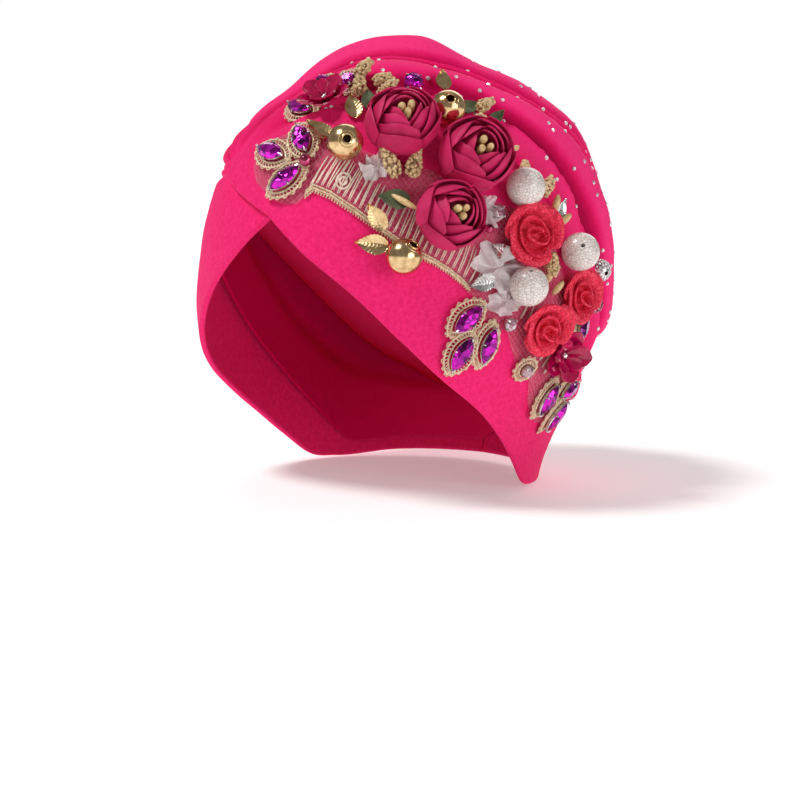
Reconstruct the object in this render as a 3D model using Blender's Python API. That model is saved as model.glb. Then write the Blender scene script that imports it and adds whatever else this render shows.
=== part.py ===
"""Pleated pink turban with two crossed head bands and a side spray of cloth flowers, beads and stones.

The turban is modelled as worn: +Z up, the face towards -Y, the wearer's left towards +X. The origin is the
top of the inside, where the turban rests on the head. Sizes below are in millimetres and degrees.
"""
import math

import bmesh
import bpy
import numpy as np

MM = 0.001

# Head form that the inside of the turban keeps to
HALF_WIDTH = 77.0
FRONT_REACH = 93.0
BACK_REACH = 97.0
DOME_HEIGHT = 83.0
DOME_EXPONENT = 1.85
DOME_LEAN = 2.0
WIDEST_LEVEL = -83.0
NECK_SCALE = 0.62
NECK_DROP = 74.0

# Cloth
CROWN_THICKNESS = 1.6
SIDE_PUFF = 4.6
TOP_PUFF = 1.8
PUFF_START = 4.5
PUFF_RUN = 8.5
BAND_THICKNESS = 2.2
LAYER_GAP = 0.9
LACE_THICKNESS = 0.9
LACE_GAP = 0.7
REST_GAP = 0.35
CROWN_TUCK = 6.0
CROWN_OVERLAP = 26.0
EDGE_ROUNDING = 0.55
UNDER_DRAW_IN = 5.0
UNDER_HIDDEN_FROM = -2.0
UNDER_HIDDEN_RUN = 8.0
CLIMB_END = 34.0
CLIMB_RUN = 22.0
TIP_LOW = (-29.0, -54.0)

# Where the band stands off the temple: how far, round which azimuth, and from which level down
RIM_FLARE = 3.5
FLARE_AZIMUTH = -58.0
FLARE_SPREAD = 30.0
FLARE_LEVEL = -67.0
FLARE_RUN = 45.0

# Poles that the crown's pleats run between: azimuth, level
FRONT_POLE = (-27.0, -61.0)
BACK_POLE = (168.0, -183.0)
FIRST_STEP = 4.0
EDGE_STEP = 8.0
LAST_STEP = 171.0
CROWN_STEPS = 19
ROLL_LIMIT = 150.0
FOOT_WIDTH = 0.013

SHOULDER_SHARE = 0.42
SHOULDER_RUN = 0.43
FOLDS_BEGIN = 5.0
FOLDS_GROW = 26.0
FOLDS_FADE_FROM = 120.0
FOLDS_FADE_RUN = 50.0
FOLDS_FADE = 0.55
FOLDS_TURN_BACK = 52.0
FOLDS_TURN_RUN = 20.0

BAND_STEP = 10.5
BACK_SEAM = 179.7
OVER_BAND_ROWS = 8
UNDER_BAND_ROWS = 6
ROW_CROWDING = 0.75
EDGE_SHARE = 0.04


def table(columns, rows):
    """A small table: its column names, each with the numbers of that column."""
    return {name: np.array(values, float) for name, values in zip(columns.split(), zip(*rows))}


# Lower edge of both bands, the same on the wearer's left and right
BAND_RIM = table("azimuth level", [
    (0, -70), (12, -83), (26, -99), (38, -115), (50, -130), (65, -145),
    (76, -157), (88, -170), (100, -181), (112, -183), (140, -181), (180, -180),
])
# Folded upper edge of each band, from the face round to the nape
OVER_BAND_TOP = table("azimuth level", [
    (-29, -51), (-20, -46), (-8, -39), (0, -33), (20, -28), (46, -27), (61, -31), (71, -41),
    (80, -55), (88, -71), (96, -94), (102, -123), (108, -146), (118, -154), (135, -157), (180, -158),
])
UNDER_BAND_TOP = table("azimuth level", [
    (-180, -158), (-135, -156), (-115, -148), (-100, -129), (-85, -103), (-70, -79),
    (-56, -64), (-42, -57), (-29, -54), (10, -54),
])
# Folds of the crown, each the share of the way from the over band's edge to the under band's edge at which
# it lies, for some places along the crown, how far its edge stands out, and how deep the cloth tucks behind it
FOLD_PLACES = (7, 16, 23, 38, 55, 100, 122, 136, 171)
FOLDS = table("at7 at16 at23 at38 at55 at100 at122 at136 at171 front_height back_height tuck", [
    (0.60, 0.20, 0.06, 0.05, 0.05, 0.050, 0.07, 0.19, 0.38, 2.4, 2.4, 5.5),
    (0.70, 0.52, 0.42, 0.22, 0.13, 0.150, 0.18, 0.29, 0.47, 2.2, 3.4, 1.0),
    (0.75, 0.58, 0.48, 0.26, 0.16, 0.180, 0.21, 0.32, 0.51, 1.6, 2.0, 1.0),
    (0.80, 0.68, 0.60, 0.41, 0.28, 0.290, 0.32, 0.41, 0.58, 7.6, 4.4, 1.5),
    (0.86, 0.78, 0.73, 0.59, 0.43, 0.430, 0.45, 0.51, 0.65, 3.0, 3.4, 1.5),
    (0.91, 0.86, 0.83, 0.74, 0.58, 0.570, 0.58, 0.62, 0.72, 3.4, 3.8, 1.5),
    (0.95, 0.92, 0.90, 0.85, 0.73, 0.710, 0.72, 0.73, 0.80, 3.4, 3.5, 1.5),
    (0.98, 0.97, 0.96, 0.93, 0.87, 0.850, 0.85, 0.86, 0.90, 3.0, 3.0, 1.0),
])
# Where the crown swells or draws in: the middle of each place, how far it stands out, and its half width and
# half height there. The first draws in between the two lobes behind the ear
CROWN_SWELLS = table("azimuth level height half_width half_height", [
    (124, -128, -6.0, 20, 13),
    (118, -34, 3.4, 26, 12),
    (-56, -45, 3.2, 22, 10),
    (-56, -19, -3.4, 32, 9),
    (124, -4, -3.4, 50, 7),
])
# Lace: for each azimuth, its lowest and highest level on the over band
LACE = table("azimuth low high", [
    (-10, -53, -48), (-6, -59, -43), (-1, -63, -40), (4, -66, -38), (9, -66, -39), (13, -61, -41),
    (18, -63, -43), (25, -68, -45), (32, -74, -47), (40, -81, -49), (46, -85, -51), (48, -109, -53),
    (50, -118, -55), (54, -125, -57), (59, -124, -59), (63, -119, -61), (67, -109, -63),
    (70, -119, -64), (74, -128, -66), (78, -129, -68), (81, -140, -73), (85, -147, -81),
    (90, -151, -96), (93, -151, -106), (96, -150, -109), (98.5, -150, -118), (101, -147, -129),
])

# Colours of the materials: red, green, blue, then roughness and metallic
FINISHES = {
    "pink_cloth": (0.86, 0.02, 0.17, 0.75, 0.0),
    "lace": (0.66, 0.50, 0.33, 0.70, 0.2),
    "raspberry_cloth": (0.60, 0.01, 0.13, 0.80, 0.0),
    "coral_felt": (0.70, 0.01, 0.05, 0.85, 0.0),
    "pink_acrylic": (0.62, 0.0, 0.16, 0.15, 0.0),
    "gold_metal": (0.80, 0.55, 0.20, 0.22, 1.0),
    "silver_metal": (0.75, 0.75, 0.72, 0.28, 1.0),
    "pearl": (0.86, 0.85, 0.80, 0.25, 0.0),
    "green_cloth": (0.06, 0.11, 0.04, 0.75, 0.0),
    "stamen_gold": (0.42, 0.26, 0.10, 0.65, 0.1),
    "purple_stone": (0.45, 0.0, 0.50, 0.08, 0.0),
    "clear_stone": (0.80, 0.62, 0.68, 0.06, 0.0),
}


def smooth(value):
    """0 below 0, 1 above 1 and an eased step between."""
    value = np.clip(value, 0.0, 1.0)
    return value * value * (3.0 - 2.0 * value)


def unit(vector):
    return vector / np.linalg.norm(vector, axis=-1, keepdims=True)


def read(rows, key, column, place):
    """A column of a table, read in straight lines between its rows."""
    return np.interp(place, rows[key], rows[column])


def read_curve(rows, key, column, place):
    """A column of a table, read along a smooth curve through its rows."""
    keys, values = rows[key], rows[column]
    slopes = np.gradient(values, keys)
    place = np.clip(place, keys[0], keys[-1])
    after = np.clip(np.searchsorted(keys, place, side="right"), 1, len(keys) - 1)
    before = after - 1
    span = keys[after] - keys[before]
    share = (place - keys[before]) / span
    rise = values[after] - values[before]
    bend_in, bend_out = slopes[before] * span - rise, rise - slopes[after] * span
    return values[before] + rise * share + share * (1.0 - share) * (bend_in * (1.0 - share) + bend_out * share)


# Head form
def dome_share(level):
    """0 at the widest section and below, 1 at the top."""
    return np.clip((level - WIDEST_LEVEL) / DOME_HEIGHT, 0.0, 1.0)


def section_scale(level):
    """How large the form's section is at a level, against its widest section."""
    dome = (1.0 - dome_share(level) ** DOME_EXPONENT) ** (1.0 / DOME_EXPONENT)
    drop = np.maximum(WIDEST_LEVEL - level, 0.0) / NECK_DROP
    return np.where(level > WIDEST_LEVEL, dome, NECK_SCALE + (1.0 - NECK_SCALE) / (1.0 + drop ** 4))


def section_middle(level):
    """How far back the middle of the section lies: the dome leans back towards its top."""
    return DOME_LEAN * dome_share(level) ** 2


def section_place(point):
    """A point across and along its section's own half axes, each 1 at the widest section."""
    back = point[..., 1] - section_middle(point[..., 2])
    return point[..., 0] / HALF_WIDTH, back / np.where(back < 0.0, FRONT_REACH, BACK_REACH)


def form_normal(point):
    """Outward direction of the head form at a point on it."""
    across, back = section_place(point)
    level = point[..., 2]
    share = dome_share(level)
    scale = section_scale(level)
    reach = np.where(back < 0.0, FRONT_REACH, BACK_REACH)
    drop = np.maximum(WIDEST_LEVEL - level, 0.0) / NECK_DROP
    taper = 4.0 * (1.0 - NECK_SCALE) * drop ** 3 / NECK_DROP / (1.0 + drop ** 4) ** 2
    dome_slope = scale ** (2.0 - DOME_EXPONENT) * share ** (DOME_EXPONENT - 1.0) / DOME_HEIGHT
    lean_slope = -back / reach * 2.0 * DOME_LEAN * share / DOME_HEIGHT
    slope = np.where(level > WIDEST_LEVEL, dome_slope + lean_slope, -scale * taper)
    return unit(np.stack([across / HALF_WIDTH, back / reach, slope], -1))


def on_form(azimuth, level, lift=0.0):
    """Point above the form, from azimuth 0 at the face and 90 at the wearer's left, and a level."""
    angle = np.radians(azimuth)
    level = np.asarray(level, float) + 0.0 * angle
    scale = section_scale(level)
    reach = np.where(np.cos(angle) > 0.0, FRONT_REACH, BACK_REACH)
    back = section_middle(level) - reach * scale * np.cos(angle)
    base = np.stack([HALF_WIDTH * scale * np.sin(angle), back, level], -1)
    return base + form_normal(base) * np.asarray(lift)[..., None]


def azimuth_level(point):
    """Azimuth and level of a point on the form."""
    across, back = section_place(point)
    return np.degrees(np.arctan2(across, -back)), point[..., 2]


# Bands
def rim_level(azimuth):
    return read_curve(BAND_RIM, "azimuth", "level", np.abs(azimuth))


def over_rim(azimuth):
    """Lower edge of the over band: its short end runs from its tip down to the point over the brow."""
    tip, brow = TIP_LOW, (BAND_RIM["azimuth"][0], BAND_RIM["level"][0])
    return np.where(azimuth < brow[0], np.interp(azimuth, (tip[0], brow[0]), (tip[1], brow[1])), rim_level(azimuth))


def under_rim(azimuth):
    """Lower edge of the under band, which draws in where the over band hides it."""
    return rim_level(azimuth) + UNDER_DRAW_IN * smooth((azimuth - UNDER_HIDDEN_FROM) / UNDER_HIDDEN_RUN)


def over_top(azimuth):
    return read_curve(OVER_BAND_TOP, "azimuth", "level", azimuth)


def under_top(azimuth):
    return read_curve(UNDER_BAND_TOP, "azimuth", "level", azimuth)


def band_top(azimuth):
    """Level of the visible folded edge, of whichever band covers that azimuth."""
    return np.where(azimuth > OVER_BAND_TOP["azimuth"][0], over_top(azimuth), under_top(azimuth))


def edge_distance(azimuth, level):
    """How far a place lies above the visible folded edge, measured across the edge."""
    run = math.radians(2.0) * (HALF_WIDTH + FRONT_REACH) / 2.0
    slope = (band_top(azimuth + 1.0) - band_top(azimuth - 1.0)) / run
    return (level - band_top(azimuth)) / np.sqrt(1.0 + slope ** 2)


def under_lift(azimuth, level):
    """Inside of the under band above the form: it stands off the temple towards its rim."""
    flare = np.exp(-((azimuth - FLARE_AZIMUTH) / FLARE_SPREAD) ** 2) * smooth((FLARE_LEVEL - level) / FLARE_RUN)
    return CROWN_THICKNESS + LAYER_GAP + RIM_FLARE * flare


def over_lift(azimuth, level):
    """Inside of the over band above the form: it climbs over the under band at the front."""
    climb = smooth((CLIMB_END - azimuth) / CLIMB_RUN)
    return under_lift(azimuth, level) + (BAND_THICKNESS + LAYER_GAP) * climb


def edge_thickness(share):
    """The band's walls close in at its folded edges."""
    edge = np.minimum(share, 1.0 - share)
    return BAND_THICKNESS * (EDGE_ROUNDING + (1.0 - EDGE_ROUNDING) * smooth(edge / EDGE_SHARE))


def band_azimuths(first, last, top):
    """Azimuths at even steps along a band's folded edge."""
    fine = np.linspace(first, last, 400)
    steps = np.linalg.norm(np.diff(on_form(fine, top(fine)), axis=0), axis=1)
    run = np.concatenate([[0.0], np.cumsum(steps)])
    return np.interp(np.linspace(0.0, run[-1], round(run[-1] / BAND_STEP) + 1), run, fine)


def band_shell(azimuths, low, top, lift, rows):
    """Outer and inner grids of a band between its lower and upper edges, its rows closer towards the top."""
    between = np.linspace(0.0, 1.0, rows - 2) ** ROW_CROWDING
    shares = np.concatenate([[0.0], EDGE_SHARE + (1.0 - 2.0 * EDGE_SHARE) * between, [1.0]])
    azimuth, share = np.meshgrid(azimuths, shares, indexing="ij")
    level = low(azimuth) + (top(azimuth) - low(azimuth)) * share
    inside = lift(azimuth, level)
    outer = on_form(azimuth, level, inside + edge_thickness(share))
    return outer, on_form(azimuth, level, inside)


# Crown
class Crown:
    """Places on the crown: along, the angle from the front pole to the back pole, and roll, the angle round
    the line between the poles, 0 on top and growing towards the wearer's left."""

    def __init__(self):
        front, back = on_form(*FRONT_POLE), on_form(*BACK_POLE)
        self.middle = (front + back) / 2.0
        self.axis = unit(front - self.middle)
        self.up = unit(np.array([0.0, 0.0, 1.0]) - self.axis * self.axis[2])
        self.left = np.cross(self.up, self.axis)

    def point(self, along, roll):
        """Where the ray in that direction leaves the head form."""
        along, roll = np.broadcast_arrays(np.radians(along), np.radians(roll))
        side = np.cos(roll)[..., None] * self.up + np.sin(roll)[..., None] * self.left
        ray = np.cos(along)[..., None] * self.axis + np.sin(along)[..., None] * side
        near, far = np.zeros(along.shape), np.full(along.shape, 160.0)
        for _ in range(40):
            half = (near + far) / 2.0
            place = self.middle + ray * half[..., None]
            inside = (np.hypot(*section_place(place)) < section_scale(place[..., 2])) & (place[..., 2] < 0.0)
            near, far = np.where(inside, half, near), np.where(inside, far, half)
        return self.middle + ray * near[..., None]

    def along_roll(self, point):
        """The two angles of a point."""
        ray = unit(point - self.middle)
        along = np.degrees(np.arccos(np.clip(ray @ self.axis, -1.0, 1.0)))
        return along, np.degrees(np.arctan2(ray @ self.left, ray @ self.up))

    def edge_roll(self, along, side, level_at):
        """Roll at which the crown, followed up from below on one side, first rises over a line of levels."""
        rolls = np.arange(ROLL_LIMIT, 0.0, -0.5) * side
        azimuth, level = azimuth_level(self.point(along, rolls))
        above = np.nonzero(level > level_at(azimuth))[0]
        return rolls[above[0]] if len(above) else 0.0


def crown_rim(azimuth):
    """The crown's own rim, hidden under the bands."""
    return np.maximum(rim_level(azimuth) + CROWN_TUCK, band_top(azimuth) - CROWN_OVERLAP)


def fold_share(fold, along):
    """Share of the way round the crown at which a fold's edge lies."""
    stations = [FOLDS[f"at{place}"][fold] for place in FOLD_PLACES]
    place = np.interp(along, FOLD_PLACES, range(len(FOLD_PLACES)))
    first = np.minimum(int(place), len(stations) - 2)
    return stations[first] + (stations[first + 1] - stations[first]) * smooth(place - first)


def fold_strength(along):
    """Folds start flat at the front pole, and flatten again towards the nape."""
    fade = FOLDS_FADE * smooth((along - FOLDS_FADE_FROM) / FOLDS_FADE_RUN)
    return smooth((along - FOLDS_BEGIN) / FOLDS_GROW) * (1.0 - fade)


# Across one fold, from the tuck behind the last one to its own edge: how much of the tuck and of the height
FOLD_PROFILE = table("share tuck height", [(0.0, 1.0, 0.0), (0.4, 0.0, 0.5), (0.82, 0.0, 1.0), (1.0, 0.0, 0.9)])


def crown_height(along, share):
    """Pleat height at a share of the way from the over band's edge to the under band's edge."""
    strength = float(fold_strength(along))
    start, tuck = 0.0, 0.0
    backward = smooth((along - FOLDS_TURN_BACK) / FOLDS_TURN_RUN)
    for fold, next_tuck in enumerate(FOLDS["tuck"]):
        front, back = FOLDS["front_height"][fold], FOLDS["back_height"][fold]
        height = front + (back - front) * backward
        edge = fold_share(fold, along)
        if share <= edge:
            rise = (share - start) / (edge - start)
            up = height * read(FOLD_PROFILE, "share", "height", rise)
            return strength * float(up - tuck * read(FOLD_PROFILE, "share", "tuck", rise))
        if share < edge + FOOT_WIDTH:
            down = (share - edge) / FOOT_WIDTH
            crest = height * FOLD_PROFILE["height"][-1]
            return strength * (crest - (crest + next_tuck) * down)
        start, tuck = edge + FOOT_WIDTH, next_tuck
    return -strength * tuck * max(1.0 - 2.0 * (share - start) / (1.0 - start), 0.0)


def crown_swell(azimuth, level):
    """How far the crown swells out at a place, or draws in where it is negative."""
    across = (azimuth - CROWN_SWELLS["azimuth"]) / CROWN_SWELLS["half_width"]
    upward = (level - CROWN_SWELLS["level"]) / CROWN_SWELLS["half_height"]
    return float(CROWN_SWELLS["height"] @ np.exp(-across ** 2 - upward ** 2))


def crown_lift(along, share, point):
    """Outside of the crown above the form."""
    azimuth, level = azimuth_level(point)
    clear = smooth((edge_distance(azimuth, level) - PUFF_START) / PUFF_RUN)
    puff = SIDE_PUFF + (TOP_PUFF - SIDE_PUFF) * smooth((dome_share(level) - SHOULDER_SHARE) / SHOULDER_RUN)
    puff *= 0.4 + 0.6 * smooth((along - 10.0) / 40.0)
    puff += crown_swell(azimuth, level)
    return CROWN_THICKNESS + max(float(clear * (puff + crown_height(along, share))), 0.0)


def crown_column(crown, along):
    """One hoop of the crown from its left rim to its right rim: outer and inner points."""
    rims = [crown.edge_roll(max(along, EDGE_STEP), side, crown_rim) for side in (1, -1)]
    edges = [crown.edge_roll(max(along, EDGE_STEP), side, band_top) for side in (1, -1)]
    spots = [(rims[0] + (edges[0] - rims[0]) * step / 3.0, 0.0) for step in range(4)]
    shares = []
    start = 0.0
    for fold in range(len(FOLDS["tuck"])):
        edge = fold_share(fold, along)
        shares += [start + (edge - start) * part for part in FOLD_PROFILE["share"][1:]]
        shares.append(edge + FOOT_WIDTH)
        start = edge + FOOT_WIDTH
    shares.append((start + 1.0) / 2.0)
    squeeze = 1.0 / max(1.0, max(shares) + 0.01)
    spots += [(edges[0] + (edges[1] - edges[0]) * share * squeeze, share) for share in shares]
    spots += [(edges[1] + (rims[1] - edges[1]) * step / 3.0, 0.0) for step in range(4)]
    outer, inner = [], []
    for roll, share in spots:
        point = crown.point(along, roll)
        lift = crown_lift(along, share, point)
        outer.append(point + form_normal(point) * lift)
        inner.append(point + form_normal(point) * (lift - CROWN_THICKNESS))
    return outer, inner


def crown_shell():
    crown = Crown()
    steps = [FIRST_STEP, *np.linspace(EDGE_STEP, LAST_STEP, CROWN_STEPS - 1)]
    columns = [crown_column(crown, along) for along in steps]
    return np.array([outer for outer, _ in columns]), np.array([inner for _, inner in columns])


# Meshes
def finish(name):
    """The named material, made once."""
    made = bpy.data.materials.get(name)
    if made:
        return made
    red, green, blue, roughness, metallic = FINISHES[name]
    made = bpy.data.materials.new(name)
    made.use_nodes = True
    shader = made.node_tree.nodes["Principled BSDF"]
    shader.inputs["Base Color"].default_value = (red, green, blue, 1.0)
    shader.inputs["Roughness"].default_value = roughness
    shader.inputs["Metallic"].default_value = metallic
    made.diffuse_color = (red, green, blue, 1.0)
    return made


def solid(name, points, faces, material):
    """Object of a closed mesh, its points in millimetres."""
    mesh = bpy.data.meshes.new(name)
    bm = bmesh.new()
    verts = [bm.verts.new(np.asarray(point, float) * MM) for point in points]
    for face in faces:
        bm.faces.new([verts[index] for index in face])
    bmesh.ops.recalc_face_normals(bm, faces=bm.faces)
    bm.to_mesh(mesh)
    bm.free()
    mesh.shade_smooth()
    mesh.set_sharp_from_angle(angle=math.radians(40.0))
    mesh.materials.append(finish(material))
    made = bpy.data.objects.new(name, mesh)
    bpy.context.scene.collection.objects.link(made)
    return made


def shell_solid(name, outer, inner, material):
    """Solid wall between two grids of points that are open on all four sides."""
    columns, rows = outer.shape[:2]
    points = np.concatenate([outer.reshape(-1, 3), inner.reshape(-1, 3)])
    back = columns * rows

    def spot(column, row):
        return column * rows + row

    faces = []
    for column in range(columns - 1):
        for row in range(rows - 1):
            quad = [spot(column, row), spot(column + 1, row), spot(column + 1, row + 1), spot(column, row + 1)]
            faces.append(quad)
            faces.append([back + index for index in reversed(quad)])
    border = [spot(column, 0) for column in range(columns)]
    border += [spot(columns - 1, row) for row in range(1, rows)]
    border += [spot(column, rows - 1) for column in range(columns - 2, -1, -1)]
    border += [spot(0, row) for row in range(rows - 2, 0, -1)]
    for here, there in zip(border, border[1:] + border[:1]):
        faces.append([here, back + here, back + there, there])
    return solid(name, points, faces, material)


def ring_faces(rings, sides, closed):
    """Quads between rings of equal count, and end caps unless the last ring joins the first."""
    faces = []
    for ring in range(rings if closed else rings - 1):
        below, above = ring * sides, ((ring + 1) % rings) * sides
        for side in range(sides):
            after = (side + 1) % sides
            faces.append([below + side, below + after, above + after, above + side])
    if not closed:
        faces.append(list(range(sides))[::-1])
        faces.append([(rings - 1) * sides + side for side in range(sides)])
    return faces


def ring_solid(name, rings, seat, material, closed=False):
    """Solid of stacked rings, each a list of points in the seat's own directions."""
    points = [seat.place(point) for ring in rings for point in ring]
    return solid(name, points, ring_faces(len(rings), len(rings[0]), closed), material)


# Places on the cloth
def band_outside(azimuth, level):
    """Outside of the bands above the form."""
    if azimuth > OVER_BAND_TOP["azimuth"][0]:
        return float(over_lift(azimuth, level)) + BAND_THICKNESS
    return float(under_lift(azimuth, level)) + BAND_THICKNESS


def cloth_lift(crown, azimuth, level):
    """Height above the form of whatever cloth lies there, with the lace on it."""
    if edge_distance(azimuth, level) > 0.5:
        point = on_form(azimuth, level)
        along, roll = crown.along_roll(point)
        edges = [crown.edge_roll(along, side, band_top) for side in (1, -1)]
        share = (roll - edges[0]) / (edges[1] - edges[0])
        return crown_lift(along, share, point)
    lift = band_outside(azimuth, level)
    if LACE["azimuth"][0] < azimuth < LACE["azimuth"][-1]:
        low = read(LACE, "azimuth", "low", azimuth)
        high = read(LACE, "azimuth", "high", azimuth)
        if low < level < high:
            lift += LACE_GAP + LACE_THICKNESS
    return lift


def cloth_height(crown, base, across, up, foot):
    """How high the cloth stands over the form's tangent plane at a foot, given across and up from the base."""
    spot = base + across * foot[0] + up * foot[1]
    azimuth, level = azimuth_level(spot)
    lift = cloth_lift(crown, float(azimuth), float(level))
    return float((on_form(azimuth, level, lift) - base) @ form_normal(base))


class Seat:
    """A place on the cloth with its own directions: across (growing azimuth), up the cloth, and out.

    It leans with the cloth under its feet, which stand round it at a reach.
    """

    def __init__(self, crown, azimuth, level, reach, turn=0.0, tilt=(0.0, 0.0)):
        base = on_form(azimuth, level)
        out = form_normal(base)
        across = unit(np.cross(np.array([0.0, 0.0, 1.0]), out))
        up = np.cross(out, across)
        angles = np.arange(8.0) * math.tau / 8.0
        feet = np.append(np.stack([np.cos(angles), np.sin(angles)], 1) * reach, [[0.0, 0.0]], axis=0)
        heights = np.array([cloth_height(crown, base, across, up, foot) for foot in feet])
        slope = heights @ feet / (4.0 * reach ** 2)
        leaning = reach * math.hypot(math.tan(math.radians(tilt[0])), math.tan(math.radians(tilt[1])))
        self.origin = base + out * (max(heights - feet @ slope) + REST_GAP + leaning)
        out = unit(out - across * slope[0] - up * slope[1])
        across = unit(across - out * (across @ out))
        up = np.cross(out, across)
        turned = math.radians(turn)
        across, up = (across * math.cos(turned) + up * math.sin(turned),
                      up * math.cos(turned) - across * math.sin(turned))
        lean_up, lean_across = math.radians(tilt[0]), math.radians(tilt[1])
        out = unit(out + up * math.tan(lean_up) + across * math.tan(lean_across))
        self.across = unit(across - out * (across @ out))
        self.up = np.cross(out, self.across)
        self.out = out

    def place(self, point):
        return self.origin + self.across * point[0] + self.up * point[1] + self.out * point[2]


# Flowers
BUD_PROFILE = table("radius height", [
    (0.42, 0.0), (0.78, 0.13), (0.98, 0.36), (1.0, 0.58), (0.86, 0.80), (0.62, 0.97), (0.40, 0.95), (0.26, 0.70),
])
BUD_SIDES = 16


def bud_rose(name, seat, radius):
    """Rounded bud of petals that overlap in a spiral, with a cup at its top."""
    rings = []
    for scale, rise in zip(BUD_PROFILE["radius"], BUD_PROFILE["height"]):
        ring = []
        for side in range(BUD_SIDES):
            turn = side / BUD_SIDES
            petal = (turn * 4.0 + rise * 1.6) % 1.0
            reach = radius * (scale - 0.10 * scale * (1.0 - petal))
            angle = turn * math.tau
            ring.append((reach * math.cos(angle), reach * math.sin(angle), rise * radius * 1.3))
        rings.append(ring)
    return ring_solid(name, rings, seat, "raspberry_cloth")


def bud_stamens(name, seat, radius):
    """Three short pips standing together in the cup of a bud."""
    base = radius * 1.3 * 0.70 + 0.35
    rings = []
    for scale, rise in ((0.6, 0.0), (1.0, 1.2), (1.0, 3.2), (0.55, 4.4)):
        ring = []
        for side in range(9):
            angle = side * math.tau / 9.0
            reach = radius * 0.155 * scale * (1.0 + 0.22 * math.cos(3.0 * angle))
            ring.append((reach * math.cos(angle), reach * math.sin(angle), base + rise))
        rings.append(ring)
    return ring_solid(name, rings, seat, "stamen_gold")


FELT_SIDES = 20
FELT_RINGS = 8
FELT_TURNS = 2.5


def felt_rose(name, seat, radius):
    """Rose wound from one strip: a spiral ridge that climbs to the middle over a spread outer petal."""
    top = []
    for step in range(FELT_RINGS, 0, -1):
        ring = []
        for side in range(FELT_SIDES):
            turn = side / FELT_SIDES
            share = step / FELT_RINGS
            wind = (share * FELT_TURNS - turn) % 1.0
            lobe = 1.0 + 0.07 * math.cos(5.0 * turn * math.tau) * share
            reach = radius * share * lobe
            rise = radius * (0.62 - 0.30 * share ** 2) + 1.5 * math.cos(wind * math.tau)
            if step == FELT_RINGS:
                rise = radius * 0.30
            ring.append((reach * math.cos(turn * math.tau), reach * math.sin(turn * math.tau), rise))
        top.append(ring)
    under = []
    for scale, height in ((0.45, 0.0), (0.92, radius * 0.18)):
        under.append([(x * scale, y * scale, height) for x, y, _ in top[0]])
    return ring_solid(name, under + top, seat, "coral_felt")


ACRYLIC_SIDES = 20


def acrylic_flower(name, seat, radius):
    """Thin cupped flower of five pointed petals with a raised middle."""
    def ring(scale, height, depth):
        points = []
        for side in range(ACRYLIC_SIDES):
            angle = side * math.tau / ACRYLIC_SIDES
            petal = 0.5 + 0.5 * math.cos(5.0 * angle)
            reach = radius * scale * (1.0 - depth * (1.0 - petal))
            points.append((reach * math.cos(angle), reach * math.sin(angle), height))
        return points

    cup = radius * 0.42
    rings = [ring(0.25, 0.0, 0.0), ring(0.62, cup * 0.28, 0.15), ring(1.0, cup, 0.34),
             ring(0.96, cup + 0.8, 0.34), ring(0.6, cup * 0.28 + 1.6, 0.15), ring(0.2, 4.6, 0.0)]
    return ring_solid(name, rings, seat, "pink_acrylic")


# Beads, stones, leaves and stamens
BEAD_SIDES = 12
BEAD_RINGS = 8


def drilled_bead(name, seat, radius, bore, material):
    """Round bead with a hole through it along the seat's outward direction."""
    start = math.asin(bore / radius)
    rings = []
    for step in range(BEAD_RINGS):
        angle = start + (math.pi - 2.0 * start) * step / (BEAD_RINGS - 1)
        reach, height = radius * math.sin(angle), radius - radius * math.cos(angle)
        rings.append([(reach * math.cos(side * math.tau / BEAD_SIDES),
                       reach * math.sin(side * math.tau / BEAD_SIDES), height) for side in range(BEAD_SIDES)])
    return ring_solid(name, rings, seat, material, closed=True)


def cut_stone(name, seat, length, width, height, pointed, material):
    """Faceted stone fused to its cup: cup base, girdle and table. Pointed stones are lens shaped."""
    rings = []
    for scale, rise in ((0.72, 0.0), (1.0, 0.42), (1.0, 0.56), (0.58, 1.0)):
        ring = []
        for side in range(8):
            angle = side * math.tau / 8.0
            narrow = abs(math.sin(angle)) ** 0.45 if pointed else 1.0
            ring.append((length / 2.0 * math.cos(angle) * scale,
                         width / 2.0 * math.sin(angle) * narrow * scale, height * rise))
        rings.append(ring)
    return ring_solid(name, rings, seat, material)


def leaf(name, seat, length, width, material):
    """Pointed leaf with a pressed midrib and a curled tip, lying along the seat's across direction."""
    outer, inner = [], []
    for step in range(5):
        share = step / 4.0
        half = max(width / 2.0 * math.sin(math.pi * (0.12 + 0.88 * share ** 0.85)), 0.35)
        rise = 0.10 * length * share ** 2
        line = [(share * length, half * side, rise + 0.9 * abs(side)) for side in (-1.0, 0.0, 1.0)]
        outer.append([seat.place((x, y, z + 0.8)) for x, y, z in line])
        inner.append([seat.place(point) for point in line])
    return shell_solid(name, np.array(outer), np.array(inner), material)


BERRY_BUMP = 0.14


def berry_sprig(name, seat, length, width):
    """Spike of tight berries, standing out along the seat's across direction."""
    rings = []
    for step in range(6):
        share = step / 5.0
        half = width / 2.0 * (0.45 + 0.55 * math.sin(math.pi * min(share + 0.15, 1.0)))
        ring = []
        for side in range(8):
            angle = side * math.tau / 8.0
            bump = 1.0 + BERRY_BUMP * (-1.0) ** (side + step)
            rise = width / 2.0 * (1.0 + BERRY_BUMP) + 0.12 * length * (share - 0.3)
            ring.append((length * share, half * bump * math.cos(angle), rise + half * bump * math.sin(angle)))
        rings.append(ring)
    return ring_solid(name, rings, seat, "stamen_gold")


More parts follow.
